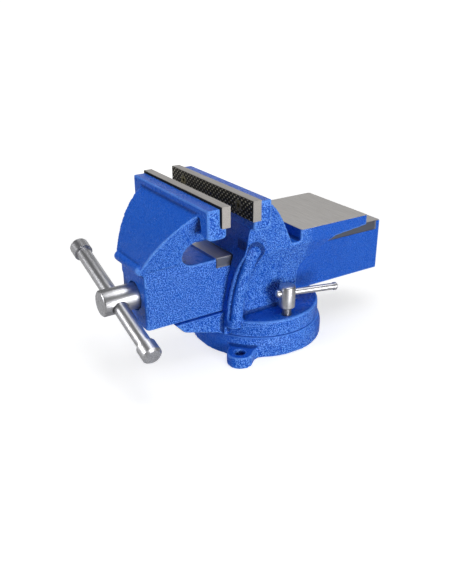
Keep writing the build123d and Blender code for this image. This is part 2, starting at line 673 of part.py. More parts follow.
def handle_line():
    """Where the handle bar lies: local Z runs along the bar, towards its low end."""
    return Pos(0, HANDLE_Y, SCREW_Z) * Rot(0, 90 + HANDLE_TILT, 0)


def lead_screw():
    """The screw: a round head with the hole for the bar, a plain neck and the threaded length."""
    head = rod(SCREW_HEAD_R, BEAM_FRONT_Y - SCREW_HEAD_LONG, SCREW_HEAD_BACK_Y)
    head = chamfer(head.edges().group_by(Axis.Z)[0], SCREW_HEAD_CHAMFER)
    shank = rod(SCREW_R, SCREW_HEAD_BACK_Y, SCREW_TIP_Y)
    shank = chamfer(shank.edges().group_by(Axis.Z)[-1], SCREW_TIP_CHAMFER)
    screw = along_y(head + shank, SCREW_Z)
    hole = handle_line() * Cylinder(HANDLE_R + RUN_GAP, 2 * (SCREW_HEAD_R + CUT_PAST))
    mouth = [
        handle_line() * Rot(turn, 0, 0) * Pos(0, 0, SCREW_HEAD_R - HANDLE_MOUTH)
        * Cone(HANDLE_R + RUN_GAP, HANDLE_R + RUN_GAP + 2 * HANDLE_MOUTH, 2 * HANDLE_MOUTH)
        for turn in (0, 180)
    ]
    return screw - hole - mouth[0] - mouth[1] - collar_pin_hole()


def thrust_washer():
    """The washer behind the front wall of the beam."""
    washer = rod(WASHER_R, WASHER_Y, WASHER_Y + WASHER_THICK)
    return along_y(washer - rod(SCREW_R + STILL_GAP, WASHER_Y, WASHER_Y + WASHER_THICK), SCREW_Z)


def thrust_collar():
    """The collar that pulls the moving jaw back, with the hole for its pin."""
    collar = rod(COLLAR_R, COLLAR_Y, COLLAR_Y + COLLAR_LONG)
    collar -= rod(SCREW_R + STILL_GAP, COLLAR_Y, COLLAR_Y + COLLAR_LONG)
    return along_y(collar, SCREW_Z) - collar_pin_hole()


def collar_pin_hole():
    """The room for the pin, through the collar and the screw."""
    return Pos(0, COLLAR_PIN_Y, SCREW_Z) * Cylinder(COLLAR_PIN_R + STILL_GAP, 2 * (COLLAR_R + CUT_PAST))


def collar_pin():
    """The pin through the collar and the screw."""
    return Pos(0, COLLAR_PIN_Y, SCREW_Z) * Cylinder(COLLAR_PIN_R, 2 * COLLAR_R)


def lead_screw_nut():
    """The nut block, which stands on the floor of the fixed jaw inside the beam."""
    body = block((-NUT_HALF, NUT_HALF), (NUT_FRONT_Y, NUT_FRONT_Y + NUT_LONG), (SLIDE_FLOOR_Z, NUT_TOP_Z))
    shoulders = body.edges().filter_by(Axis.Y).group_by(Axis.Z)[-1]
    body = chamfer(shoulders, NUT_CHAMFER)
    body -= along_y(rod(SCREW_R + RUN_GAP, NUT_FRONT_Y, NUT_FRONT_Y + NUT_LONG), SCREW_Z)
    return body - Pos(0, NUT_MID_Y, 0) * rod(NUT_BOLT_R + STILL_GAP, SLIDE_FLOOR_Z, SCREW_Z)


def nut_bolt():
    """The socket bolt that holds the nut block down, from under the flange."""
    head_bottom = NUT_WASHER_Z - NUT_BOLT_HEAD_TALL
    bolt = rod(NUT_BOLT_HEAD_R, head_bottom, NUT_WASHER_Z)
    bolt += rod(NUT_BOLT_R, NUT_WASHER_Z, SLIDE_FLOOR_Z + NUT_BOLT_BITE)
    bolt -= Pos(0, 0, head_bottom) * extrude(RegularPolygon(NUT_BOLT_HEX_R, 6), NUT_BOLT_HEX_DEEP)
    return Pos(0, NUT_MID_Y, 0) * bolt


def nut_washer():
    """The washer under the head of the nut's bolt."""
    top = NUT_WASHER_Z + NUT_WASHER_THICK
    washer = rod(NUT_WASHER_R, NUT_WASHER_Z, top) - rod(NUT_BOLT_R + STILL_GAP, NUT_WASHER_Z, top)
    return Pos(0, NUT_MID_Y, 0) * washer


# --- bars and their caps ----------------------------------------------------------------------


def cap(bar_r, cap_r, length, wall, taper):
    """A bar's end cap: its mouth is at Z = 0 and its closed end is at Z = length."""
    body = rod(cap_r, 0, length)
    body = chamfer(body.edges().group_by(Axis.Z)[-1], taper)
    return body - rod(bar_r + STILL_GAP, 0, length - wall)


def handle_bar():
    """The bar through the head of the screw."""
    low = HANDLE_LOW_END - HANDLE_CAP_WALL
    high = HANDLE_HIGH_END - HANDLE_CAP_WALL
    return handle_line() * rod(HANDLE_R, -high, low)


def handle_cap(end, turn):
    """One end cap of the handle bar, with its outer face that far from the screw's axis."""
    shape = cap(HANDLE_R, HANDLE_CAP_R, HANDLE_CAP_LONG, HANDLE_CAP_WALL, HANDLE_CAP_TAPER)
    return handle_line() * Rot(turn, 0, 0) * Pos(0, 0, end - HANDLE_CAP_LONG) * shape


def lock_bar_line(side):
    """Where a lock bolt's bar lies: local Z runs along the bar, towards the rear."""
    across = side * cos(radians(LOCK_BAR_ANGLE))
    lengthwise = Vector(across, sin(radians(LOCK_BAR_ANGLE)), 0)
    return Location(Plane(origin=(side * SLOT_R, 0, LOCK_BAR_Z), x_dir=(0, 0, 1), z_dir=lengthwise))


def lock_bolt(side):
    """A lock bolt: round head with a cross hole, and the thread down to the lock nut."""
    head = rod(LOCK_HEAD_R, LOCK_HEAD_BOTTOM_Z, LOCK_HEAD_BOTTOM_Z + LOCK_HEAD_TALL)
    head = chamfer(head.edges().filter_by(GeomType.CIRCLE), LOCK_HEAD_CHAMFER)
    bolt = Pos(side * SLOT_R, 0, 0) * (head + rod(LOCK_R, CAVITY_FLOOR + LOCK_NUT_GAP, LOCK_HEAD_BOTTOM_Z))
    return bolt - lock_bar_line(side) * Cylinder(LOCK_BAR_R + RUN_GAP, 2 * (LOCK_HEAD_R + CUT_PAST))


def lock_bar(side):
    """The small bar through a lock bolt."""
    back, front = LOCK_BAR_BACK - LOCK_CAP_WALL, LOCK_BAR_FRONT - LOCK_CAP_WALL
    return lock_bar_line(side) * rod(LOCK_BAR_R, -front, back)


def lock_bar_caps(side):
    """The two end caps of a lock bolt's bar."""
    shape = cap(LOCK_BAR_R, LOCK_CAP_R, LOCK_CAP_LONG, LOCK_CAP_WALL, LOCK_CAP_TAPER)
    line = lock_bar_line(side)
    back = line * Pos(0, 0, LOCK_BAR_BACK - LOCK_CAP_LONG) * shape
    front = line * Rot(180, 0, 0) * Pos(0, 0, LOCK_BAR_FRONT - LOCK_CAP_LONG) * shape
    return Compound(children=[back, front])


def lock_nut(side):
    """A curved nut in the ring slot, which the lock bolt pulls up against the base."""
    top = CAVITY_TOP_Z - LOCK_NUT_GAP
    bottom = CAVITY_FLOOR + LOCK_NUT_GAP
    nut = ring(CAVITY_HALF - LOCK_NUT_GAP, bottom, top) & block(
        (0, 2 * SLOT_R), (-LOCK_NUT_HALF, LOCK_NUT_HALF), (bottom, top)
    )
    nut -= Pos(SLOT_R, 0, 0) * rod(LOCK_R + RUN_GAP, bottom, top)
    return nut if side > 0 else mirror(nut, Plane.YZ)


def main():
    """Writes one STEP file for each piece."""
    pieces = {
        "swivel_base": swivel_base(),
        "pivot_bolt": pivot_bolt(),
        "pivot_washer": pivot_washer(),
        "fixed_jaw": fixed_jaw(),
        "fixed_jaw_plate": jaw_plate(FIXED_SEAT_Y, 1),
        "fixed_plate_screws": jaw_plate_screws(FIXED_SEAT_Y, 1),
        "moving_jaw": moving_jaw(),
        "moving_jaw_plate": jaw_plate(MOVING_SEAT_Y, -1),
        "moving_plate_screws": jaw_plate_screws(MOVING_SEAT_Y, -1),
        "lead_screw": lead_screw(),
        "thrust_washer": thrust_washer(),
        "thrust_collar": thrust_collar(),
        "collar_pin": collar_pin(),
        "lead_screw_nut": lead_screw_nut(),
        "nut_bolt": nut_bolt(),
        "nut_washer": nut_washer(),
        "handle_bar": handle_bar(),
        "handle_cap_low": handle_cap(HANDLE_LOW_END, 0),
        "handle_cap_high": handle_cap(HANDLE_HIGH_END, 180),
    }
    for side, word in ((1, "right"), (-1, "left")):
        pieces["lock_bolt_" + word] = lock_bolt(side)
        pieces["lock_nut_" + word] = lock_nut(side)
        pieces["lock_bar_" + word] = lock_bar(side)
        pieces["lock_bar_caps_" + word] = lock_bar_caps(side)
    os.makedirs("parts", exist_ok=True)
    for name, shape in pieces.items():
        export_step(shape, "parts/" + name + ".step")


main()
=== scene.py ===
import json
from math import cos, pi, radians, sin, tau

import bmesh
import bpy
import numpy as np
from bpy.props import FloatProperty, FloatVectorProperty, IntProperty, PointerProperty
from mathutils import Euler, Matrix, Vector


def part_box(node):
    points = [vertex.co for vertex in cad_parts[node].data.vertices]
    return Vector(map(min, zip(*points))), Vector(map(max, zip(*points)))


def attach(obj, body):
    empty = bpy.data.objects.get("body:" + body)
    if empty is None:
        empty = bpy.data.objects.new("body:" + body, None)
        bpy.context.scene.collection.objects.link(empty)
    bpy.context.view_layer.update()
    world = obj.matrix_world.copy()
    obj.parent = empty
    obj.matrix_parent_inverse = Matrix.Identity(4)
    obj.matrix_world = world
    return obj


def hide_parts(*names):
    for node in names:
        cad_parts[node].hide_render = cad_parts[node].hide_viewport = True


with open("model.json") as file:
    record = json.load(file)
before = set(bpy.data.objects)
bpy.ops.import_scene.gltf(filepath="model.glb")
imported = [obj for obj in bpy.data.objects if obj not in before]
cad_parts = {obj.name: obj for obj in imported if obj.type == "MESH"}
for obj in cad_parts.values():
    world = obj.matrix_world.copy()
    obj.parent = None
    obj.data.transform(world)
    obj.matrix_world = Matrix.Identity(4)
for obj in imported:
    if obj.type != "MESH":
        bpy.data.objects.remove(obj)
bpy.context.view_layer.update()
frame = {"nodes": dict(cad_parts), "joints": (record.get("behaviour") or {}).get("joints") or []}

bl_info = {
    "name": "Bench vise finish",
    "version": (1, 0, 0),
    "blender": (4, 5, 0),
    "location": "3D View > Sidebar > Vise",
    "description": "Casting skins, knurled plates, threads and finishes for a bench vise",
    "category": "Object",
}

MM = 0.001

# Boxes and joints of the frame.
_, MOVING_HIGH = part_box("moving_jaw")
FIXED_PLATE_LOW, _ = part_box("fixed_jaw_plate")
SCREW_LOW, SCREW_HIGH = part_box("lead_screw")
JOINTS = {joint["name"]: joint for joint in frame["joints"]}

# Sizes that the skins share with the solids.
ANVIL_TOP = 102.1 * MM
ANVIL_START = 12.0 * MM  # between the fixed jaw's fan and its anvil
BEAM_TOP = 85.5 * MM
BEAM_HALF = 21.5 * MM
STRIP_DEEP = 0.8 * MM  # the machined strips down the beam's sides
STRIP_TALL = 8.5 * MM
STRIP_END_LIP = 4.5 * MM
MACHINED_START = FIXED_PLATE_LOW.y - 6.5 * MM  # front end of the beam's machined top
RIB_FOOT = np.array((-43.5, 25.7)) * MM  # three points on the rib's centre line, in (y, z)
RIB_MID = np.array((-39.3, 62.0)) * MM
RIB_TOP = np.array((-30.2, 90.0)) * MM
WALL_INSIDE = 26.0 * MM  # the side walls' outer faces lie farther out than this
FLANGE_CLEAR = 33.0 * MM  # above the flange and its fillet
PLATE_SHANK = 2.55 * MM  # radius of a screw's hole in a jaw plate
SCREW_HEAD_PLAY = 0.05 * MM  # between a countersunk head and its room
SCREW_NECK = 9.0 * MM  # radius
SCREW_HEAD_LONG = 31.9 * MM
SCREW_THREAD_START = 62.0 * MM  # from the head's end
BAR_HOLE = 6.1 * MM  # radius
LOCK_NECK = 4.0 * MM  # radius
LOCK_HEAD_TALL = 20.2 * MM
LOCK_BAR_HOLE = 3.0 * MM  # radius

# The work on the castings.
DOUBLES = 0.01 * MM  # vertices of a copied solid that lie nearer than this are one
ON_FACE = 0.1 * MM  # a vertex this near a face belongs to it
MACHINING_STOCK = 2.0 * MM  # casting left above a face before it is machined
CUTTER_RUN_OUT = 4.0 * MM  # how far in front of the beam's machined top the cutter still clears ridges
EDGE_BREAK = 1.2 * MM  # each leg of the chamfer on the beam's upper edges
RIB_GROOVE = 2.4 * MM  # depth of the groove beside a rib
RIB_GROOVE_AT = 8.0 * MM  # from the rib's centre line
RIB_GROOVE_WIDE = 1.7 * MM
RIB_SHADE_START = 7.0 * MM  # behind the rib's centre line
RIB_SHADE_END = 15.5 * MM
RIB_SHADE_FADE = 4.0 * MM
SIDEWAYS = 0.3  # least share of a normal along X on a face that looks sideways
GROOVE_SHADE = 0.22  # how dark the painted shade in a pressed groove gets, for its depth
PAINTED_SHADOW_DEPTH = 0.4  # how dark the painted shadow behind a rib gets, in cells
EDGE_SPAN = 0.5  # a vertex sunk or raised by this many cells has the full shade
TINY_EDGE = 0.25  # edges of a skin under this many cells are merged away
CAST_SHARP, TURNED_SHARP, PLATE_SHARP = radians(40), radians(35), radians(30)

# The work on the plates and the turned pieces.
KNURL_STEPS = 8  # grid cells in a diamond
KNURL_RIM = 0.6 * MM  # this far from the chamfer the knurl has its full depth
PLATE_DOUBLES = 0.001 * MM
SCREW_SIDES, LOCK_SIDES, HOLE_SIDES = 64, 40, 48
SCREW_STEPS, LOCK_STEPS = 14, 12  # rings in a turn of thread
SCREW_CHAMFER, LOCK_CHAMFER = 1.1 * MM, 1.2 * MM
SCREW_TIP, TIP_RINGS = 2.5 * MM, 6  # the cone at the end of the thread
HOLE_FLARE = 2.0 * MM  # added to the radius of the bar's hole just outside the head
LOCK_HOLE_REACH = 10.0 * MM


# --- meshes -------------------------------------------------------------------------------------


def coordinates(mesh):
    """The mesh's vertices as an array with a row for each."""
    places = np.empty(len(mesh.vertices) * 3)
    mesh.vertices.foreach_get("co", places)
    return places.reshape(-1, 3)


def circle_through(first, second, third):
    """The centre of the circle through three points in a plane: it is as far from the first as from the
    other two, which makes two linear equations."""
    rows = np.array([second - first, third - first])
    return np.linalg.solve(2 * rows, np.sum(np.square([second, third]) - np.square(first), axis=1))


def outwards(mesh):
    """The direction out of the surface at each vertex."""
    normals = np.empty(len(mesh.vertices) * 3)
    mesh.vertices.foreach_get("normal", normals)
    return normals.reshape(-1, 3)


def place(mesh, places):
    """Moves the mesh's vertices to those rows."""
    mesh.vertices.foreach_set("co", np.ascontiguousarray(places, np.float32).ravel())
    mesh.update()


def store(mesh, name, values):
    """Keeps a number for each vertex, which a finish reads by that name."""
    mesh.attributes.new(name, "FLOAT", "POINT").data.foreach_set("value", np.asarray(values, np.float32))


def merged(mesh, distance):
    """Joins the vertices that lie within that distance of each other."""
    work = bmesh.new()
    work.from_mesh(mesh)
    bmesh.ops.remove_doubles(work, verts=work.verts, dist=distance)
    bmesh.ops.dissolve_degenerate(work, edges=work.edges, dist=distance / 10)
    work.to_mesh(mesh)
    work.free()
    return mesh


def finished(carrier):
    """The carrier object's mesh with its modifiers applied. The carrier goes."""
    graph = bpy.context.evaluated_depsgraph_get()
    mesh = bpy.data.meshes.new_from_object(carrier.evaluated_get(graph))
    bpy.data.objects.remove(carrier)
    return mesh


def carried(mesh):
    """A scratch object that holds the mesh while a modifier works on it."""
    carrier = bpy.data.objects.new("carrier", mesh)
    bpy.context.scene.collection.objects.link(carrier)
    return carrier


def remeshed(mesh, cell):
    """The same surface in even four-sided cells of that size."""
    carrier = carried(mesh)
    cells = carrier.modifiers.new("cells", "REMESH")
    cells.mode = "VOXEL"
    cells.voxel_size = cell
    return finished(carrier)


def less(mesh, cutter):
    """The first mesh with the room of the second cut out of it."""
    carrier, tool = carried(mesh), carried(cutter)
    cut = carrier.modifiers.new("cut", "BOOLEAN")
    cut.operation = "DIFFERENCE"
    cut.solver = "EXACT"
    cut.object = tool
    result = finished(carrier)
    bpy.data.objects.remove(tool)
    return result


def relaxed(places, pairs, rounds):
    """Each round moves every vertex half-way to the mean of its neighbours, which rounds the edges."""
    count = np.bincount(pairs.ravel(), minlength=len(places))[:, None]
    for _ in range(rounds):
        total = np.zeros_like(places)
        for near, far in ((0, 1), (1, 0)):
            for axis in range(3):
                total[:, axis] += np.bincount(
                    pairs[:, near], places[pairs[:, far], axis], minlength=len(places)
                )
        places = (places + total / count) / 2
    return places


def grid_faces(rows, columns, closed):
    """Four-sided faces of a grid. A closed grid's last column joins its first one."""
    index = np.arange(rows * columns).reshape(rows, columns)
    beside = np.roll(index, -1, axis=1) if closed else index[:, 1:]
    here = index if closed else index[:, :-1]
    return np.stack([here[:-1], beside[:-1], beside[1:], here[1:]], axis=-1).reshape(-1, 4)


def shell(name, places, faces):
    """A mesh from rows of places and lists of faces, turned right side out by the sign of its volume."""
    volume = 0.0
    for face in faces:
        face = np.asarray(face)
        for step in range(1, face.shape[1] - 1):
            first, second, third = (places[face[:, i]] for i in (0, step, step + 1))
            volume += np.einsum("ij,ij->", first, np.cross(second, third))
    mesh = bpy.data.meshes.new(name)
    loops = [list(map(int, row)) for face in faces for row in np.asarray(face)]
    mesh.from_pydata(places.tolist(), [], loops if volume > 0 else [loop[::-1] for loop in loops])
    mesh.update()
    return mesh


def across(axis):
    """Two unit directions that make a right-handed set with the axis."""
    axis = Vector(axis).normalized()
    first = axis.orthogonal().normalized()
    return axis, first, axis.cross(first)


def turned(name, origin, axis, stations, radii, around):
    """A turned surface. The point at station s and angle a is
    origin + s * axis + r(s, a) * (cos a * first + sin a * second), and each end closes on the axis."""
    axis, first, second = (np.array(v) for v in across(axis))
    angles = np.arange(around) * tau / around
    ring = np.cos(angles)[:, None] * first + np.sin(angles)[:, None] * second
    stations = np.asarray(stations, float)
    radii = np.broadcast_to(np.asarray(radii, float).reshape(len(stations), -1), (len(stations), around))
    along = np.array(origin) + stations[:, None] * axis
    grid = along[:, None, :] + radii[:, :, None] * ring[None, :, :]
    ends = along[[0, -1]]
    places = np.concatenate([grid.reshape(-1, 3), ends])
    index = np.arange(around)
    last = (len(stations) - 1) * around
    low = np.stack([np.roll(index, -1), index, np.full(around, len(places) - 2)], 1)
    high = np.stack([last + index, last + np.roll(index, -1), np.full(around, len(places) - 1)], 1)
    return shell(name, places, [grid_faces(len(stations), around, True), low, high])


def thread_radii(stations, around, crest, depth, pitch):
    """The radius of a right-hand thread: its phase is s / pitch - a / turn, and the flank rises over the
    middle third of each half pitch."""
    phase = stations[:, None] / pitch - np.arange(around)[None, :] / around
    ramp = np.abs(2 * (phase - np.floor(phase)) - 1)
    return crest - depth * np.clip((0.67 - ramp) * 3, 0, 1)


def piece(name, mesh, body, nodes, finish, sharp):
    """Puts a mesh in the scene: smooth but for edges over the sharp angle, on a body, for nodes."""
    mesh.shade_smooth()
    mesh.set_sharp_from_angle(angle=sharp)
    made = bpy.data.objects.new(name, mesh)
    bpy.context.scene.collection.objects.link(made)
    mesh.materials.clear()
    mesh.materials.append(finish)
    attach(made, body)
    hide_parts(*nodes)


def dress(nodes, finish):
    """Gives CAD nodes a finish."""
    for node in nodes:
        frame["nodes"][node].material_slots[0].material = finish


# --- shader maths -------------------------------------------------------------------------------


class Value:
    """A node's output. Python's operators on it add Math nodes to its finish."""

    def __init__(self, finish, output):
        self.finish, self.output = finish, output

    def math(self, operation, *values):
        return self.finish.node("ShaderNodeMath", {"operation": operation}, dict(enumerate(values)))

    def __add__(self, other):
        return self.math("ADD", self, other)

    def __sub__(self, other):
        return self.math("SUBTRACT", self, other)

    def __rsub__(self, other):
        return self.math("SUBTRACT", other, self)

    def __mul__(self, other):
        return self.math("MULTIPLY", self, other)

    __radd__, __rmul__ = __add__, __mul__

    def rises(self, low, high):
        """0 below low and 1 above high, with a smooth rise between."""
        return self.finish.node(
            "ShaderNodeMapRange",
            {"interpolation_type": "SMOOTHSTEP"},
            {"Value": self, "From Min": low, "From Max": high},
        )


class Graph:
    """A node tree under construction."""

    def __init__(self, owner, coordinates):
        self.owner = owner
        owner.use_nodes = True
        self.tree = owner.node_tree
        self.tree.nodes.clear()
        self.place = self.node("ShaderNodeTexCoord", output=coordinates)

    def node(self, kind, settings=None, inputs=None, output=0):
        """Any node. Its settings are set before its sockets."""
        made = self.tree.nodes.new(kind)
        for key, value in (settings or {}).items():
            setattr(made, key, value)
        for key, value in (inputs or {}).items():
            if isinstance(value, Value):
                self.tree.links.new(value.output, made.inputs[key])
            else:
                made.inputs[key].default_value = value
        return None if output is None else Value(self, made.outputs[output])

    def dot(self, axis):
        """How far a place lies along the axis."""
        inputs = {0: self.place, 1: Vector(axis).normalized()}
        return self.node("ShaderNodeVectorMath", {"operation": "DOT_PRODUCT"}, inputs, "Value")


class Finish(Graph):
    """A material under construction."""

    def __init__(self, name):
        super().__init__(bpy.data.materials.new(name), "Object")

    def noise(self, size, detail, vector=None):
        """Noise from 0 to 1 whose lumps are about that large."""
        inputs = {"Vector": vector or self.place, "Scale": 1 / size, "Detail": detail}
        return self.node("ShaderNodeTexNoise", inputs=inputs)

    def stretched(self, axis, share):
        """Places with their run along the axis cut to that share, which draws noise out along it."""
        scale = self.dot(axis) * (share - 1)
        inputs = {0: Vector(axis).normalized(), "Scale": scale}
        back = self.node("ShaderNodeVectorMath", {"operation": "SCALE"}, inputs)
        return self.node("ShaderNodeVectorMath", {"operation": "ADD"}, {0: self.place, 1: back})

    def attribute(self, name):
        """A number kept for each vertex."""
        return self.node("ShaderNodeAttribute", {"attribute_name": name}, output="Fac")

    def mix(self, factor, first, second):
        """The first colour where the factor is 0 and the second where it is 1."""
        return self.node(
            "ShaderNodeMix", {"data_type": "RGBA"}, {"Factor": factor, 6: first, 7: second}, 2
        )

    def bump(self, height, distance, strength=1.0):
        """A normal for a height in units of that distance."""
        return self.node(
            "ShaderNodeBump", inputs={"Height": height, "Distance": distance, "Strength": strength}
        )

    def surface(self, **inputs):
        """The shader at the end of the finish. An underscore in a name stands for a space."""
        named = {key.replace("_", " "): value for key, value in inputs.items()}
        shader = self.node("ShaderNodeBsdfPrincipled", inputs=named)
        self.node("ShaderNodeOutputMaterial", inputs={"Surface": shader}, output=None)
        return self.owner


def opaque(colour):
    """A colour with its fourth number."""
    return (*colour, 1.0)


# --- finishes -----------------------------------------------------------------------------------


# Levels of noise, or of a number kept for each vertex, between which a mark grows.
BARE_LEVELS = (0.45, 0.55)
FLECK_LEVELS = (0.50, 0.58)
PIT_LEVELS = (0.47, 0.34)
HOLLOW_SHADE_LEVELS = (0.15, 0.8)
CREST_HIGHLIGHT_LEVELS = (0.62, 1.0)
SIDE_GLINT_LEVELS, BEAM_SIDE_SHADE_LEVELS = (0.35, 0.8), (0.5, 0.9)
REAR_GLINT_LEVELS = (24.0 * MM, 30.0 * MM)  # along Y, where the painted glints and shade of the flecks get weaker
MILLING_LEVELS = (0.35, 0.7)
GRIND_LEVELS = (0.3, 0.75)
KNURL_LEVELS = (0.40, 0.80)
TURNING_LEVELS, TURNING_STAIN_LEVELS = (0.42, 0.66), (0.5, 0.75)
WEAR_LEVELS = (0.4, 0.7)
OIL_LEVELS = (0.35, 0.7)


def casting_finish(colours):
    """Blue hammertone enamel over a pebbled casting, with machined faces bare where the mesh says so.
    The flecks and pits are weak, and strong on faces that look sideways in front of the rear end: there
    they are painted glints and painted shade. Outer edges get a painted highlight, and inner corners and
    the milled side strips painted shade."""
    finish = Finish("hammertone")
    bare = finish.attribute("bare").rises(*BARE_LEVELS)
    edge = finish.attribute("edge")
    side = finish.attribute("side")
    pebbles = finish.noise(colours.hammer_size, detail=1.0)
    drift = finish.noise(colours.hammer_size * 8, detail=2.0)
    rear = finish.dot((0, 1, 0)).rises(*REAR_GLINT_LEVELS)
    # Painted glints and painted shade: flecks and pits are strong on sideways faces and fade towards the
    # rear end.
    speckle_and_glint = 0.14 + side.rises(*SIDE_GLINT_LEVELS) * (1 - rear * 0.85) * 0.72
    paint = finish.mix(pebbles.rises(*FLECK_LEVELS) * speckle_and_glint, opaque(colours.paint), opaque(colours.fleck_and_glint))
    paint = finish.mix(pebbles.rises(*PIT_LEVELS) * speckle_and_glint, paint, opaque(colours.pit_and_shade))
    # Painted highlight on the outer edges, in the crest colour.
    paint = finish.mix(edge.rises(*CREST_HIGHLIGHT_LEVELS) * 0.45, paint, opaque(colours.crest))
    # Painted shade in inner corners and hollows.
    paint = finish.mix((-1 * edge).rises(*HOLLOW_SHADE_LEVELS) * 0.75, paint, opaque(colours.crevice_shade))
    milling = finish.noise(0.5 * MM, detail=2.0, vector=finish.stretched((1, 0, 0), 0.03))
    metal = finish.mix(
        milling.rises(*MILLING_LEVELS), opaque(colours.machined), opaque(colours.machined_dark)
    )
    # Painted shade: milled faces that look sideways are darker than the milled top.
    metal = finish.mix(side.rises(*BEAM_SIDE_SHADE_LEVELS) * 0.9, metal, opaque(colours.machined_side_shade))
    height = (1 - bare) * pebbles + bare * milling * 0.02
    return finish.surface(
        Base_Color=finish.mix(bare, paint, metal),
        Metallic=bare,
        Roughness=0.22 + drift * 0.12 + bare * 0.22,
        Specular_IOR_Level=colours.enamel_gloss,
        Normal=finish.bump(height, colours.hammer_deep),
    )


def plate_finish(colours):
    """Ground hardened steel, black where the mesh says so, with bright crests on the knurl."""
    finish = Finish("plate_steel")
    black = finish.attribute("black").rises(*BARE_LEVELS)
    crest = finish.attribute("crest")
    grind = finish.noise(0.6 * MM, detail=2.0, vector=finish.stretched((1, 0, 0), 0.02))
    smudge = finish.noise(7 * MM, detail=2.0)
    ground = finish.mix(grind.rises(*GRIND_LEVELS), opaque(colours.ground), opaque(colours.ground_dark))
    # Lighter colour on the knurl's crests.
    dark = finish.mix(crest.rises(*KNURL_LEVELS) * 0.9, opaque(colours.black), opaque(colours.knurl_crest))
    return finish.surface(
        Base_Color=finish.mix(black, ground, dark),
        Metallic=1 - black * 0.35,
        Roughness=0.36 + smudge * 0.12 + black * 0.08,
        Normal=finish.bump(grind, 0.05 * MM, 0.3),
    )


def turned_finish(name, axis, colours):
    """Turned steel: fine rings round the axis, scratches along it and faint stains."""
    finish = Finish(name)
    rings = finish.noise(1.2 * MM, detail=3.0, vector=finish.stretched(axis, 6.0))
    scratch = finish.noise(0.9 * MM, detail=2.0, vector=finish.stretched(axis, 0.04))
    stain = finish.noise(9 * MM, detail=3.0)
    mark = (scratch * 0.6 + rings * 0.4).rises(*TURNING_LEVELS)
    dirt = mark * 0.55 + stain.rises(*TURNING_STAIN_LEVELS) * 0.25
    return finish.surface(
        Base_Color=finish.mix(dirt, opaque(colours.bright), opaque(colours.bright_dark)),
        Metallic=1.0,
        Roughness=0.30 + mark * 0.12 + stain * 0.08,
        Normal=finish.bump(scratch * 0.5 + rings * 0.5, 0.05 * MM, 0.35),
    )


def oxide_finish(colours):
    """Small fasteners in oiled oxide, with brassy wear."""
    finish = Finish("oiled_oxide")
    wear = finish.noise(1.6 * MM, detail=3.0)
    return finish.surface(
        Base_Color=finish.mix(wear.rises(*WEAR_LEVELS), opaque(colours.oxide), opaque(colours.oxide_worn)),
        Metallic=0.9,
        Roughness=0.38 + wear * 0.2,
        Normal=finish.bump(wear, 0.05 * MM, 0.4),
    )


def iron_finish(colours):
    """Bare machined iron under a film of oil."""
    finish = Finish("bare_iron")
    grain = finish.noise(0.8 * MM, detail=3.0)
    stain = finish.noise(8 * MM, detail=2.0)
    return finish.surface(
        Base_Color=finish.mix(stain.rises(*OIL_LEVELS), opaque(colours.iron), opaque(colours.iron_dark)),
        Metallic=0.85,
        Roughness=0.42 + grain * 0.2,
        Normal=finish.bump(grain, 0.08 * MM, 0.4),
    )


# --- settings -----------------------------------------------------------------------------------


def colour(name, description, default):
    """A colour setting."""
    return FloatVectorProperty(
        name=name, description=description, subtype="COLOR", size=3, min=0.0, max=1.0, default=default
    )


def length(name, description, millimetres):
    """A length setting. Its default is given here in millimetres and kept in metres."""
    return FloatProperty(
        name=name, description=description, subtype="DISTANCE", unit="LENGTH", min=0.0,
        default=millimetres * MM,
    )


def share(name, description, default):
    """A setting from 0 to 1."""
    return FloatProperty(
        name=name, description=description, subtype="FACTOR", default=default, min=0.0, max=1.0
    )


def power(name, description, default):
    """A lamp's power in watts."""
    return FloatProperty(name=name, description=description, unit="POWER", default=default, min=0.0)


class VISE_PG_colours(bpy.types.PropertyGroup):
    """Colours and grain of the finishes"""

    paint: colour("Paint", "Main colour of the enamel", (0.006, 0.098, 0.58))
    # Flecks of the hammertone, also used as painted glints on sideways faces.
    fleck_and_glint: colour("Fleck", "Light flecks of the hammertone, with painted glints on sideways faces", (0.170, 0.41, 1.00))
    # Hollows of the hammertone, also used as painted shade on sideways faces.
    pit_and_shade: colour("Pit", "Dark hollows of the hammertone, with painted shade on sideways faces", (0.002, 0.050, 0.40))
    # Painted highlight on the outer edges.
    crest: colour("Crest", "Painted highlight on the outer edges", (0.16, 0.40, 1.00))
    # Painted shade in inner corners.
    crevice_shade: colour("Crevice", "Painted shade in inner corners", (0.001, 0.022, 0.17))
    hammer_size: length("Hammer size", "Width of a pebble of the hammertone", 0.9)
    hammer_deep: length("Hammer depth", "Height of the pebbles", 0.5)
    enamel_gloss: share("Enamel gloss", "Specular level of the enamel", 0.15)
    machined: colour("Machined iron", "Milled anvil and beam faces", (0.66, 0.64, 0.62))
    machined_dark: colour("Machined marks", "Darker milling marks", (0.55, 0.53, 0.51))
    # Milled side strips darkened as painted shade.
    machined_side_shade: colour("Machined sides", "Milled strips down the beam's sides, in painted shade", (0.11, 0.125, 0.17))
    ground: colour("Ground steel", "Top and ends of the jaw plates", (0.50, 0.48, 0.46))
    ground_dark: colour("Ground marks", "Grinding marks of the plates", (0.36, 0.34, 0.32))
    black: colour("Black steel", "Knurled face and back of the plates", (0.012, 0.011, 0.008))
    # Lighter colour on the knurl's crests.
    knurl_crest: colour("Lighter crests", "Crests of the knurl", (0.55, 0.52, 0.42))
    bright: colour("Bright steel", "Screw, bars and lock bolts", (0.60, 0.60, 0.62))
    bright_dark: colour("Bright steel marks", "Scratches in the bright steel", (0.17, 0.17, 0.18))
    oxide: colour("Oxide", "Oiled fasteners", (0.13, 0.12, 0.07))
    oxide_worn: colour("Worn oxide", "Wear on the fasteners", (0.42, 0.38, 0.24))
    iron: colour("Iron", "Bare iron pieces", (0.22, 0.22, 0.22))
    iron_dark: colour("Iron stain", "Oil stain on bare iron", (0.10, 0.10, 0.10))


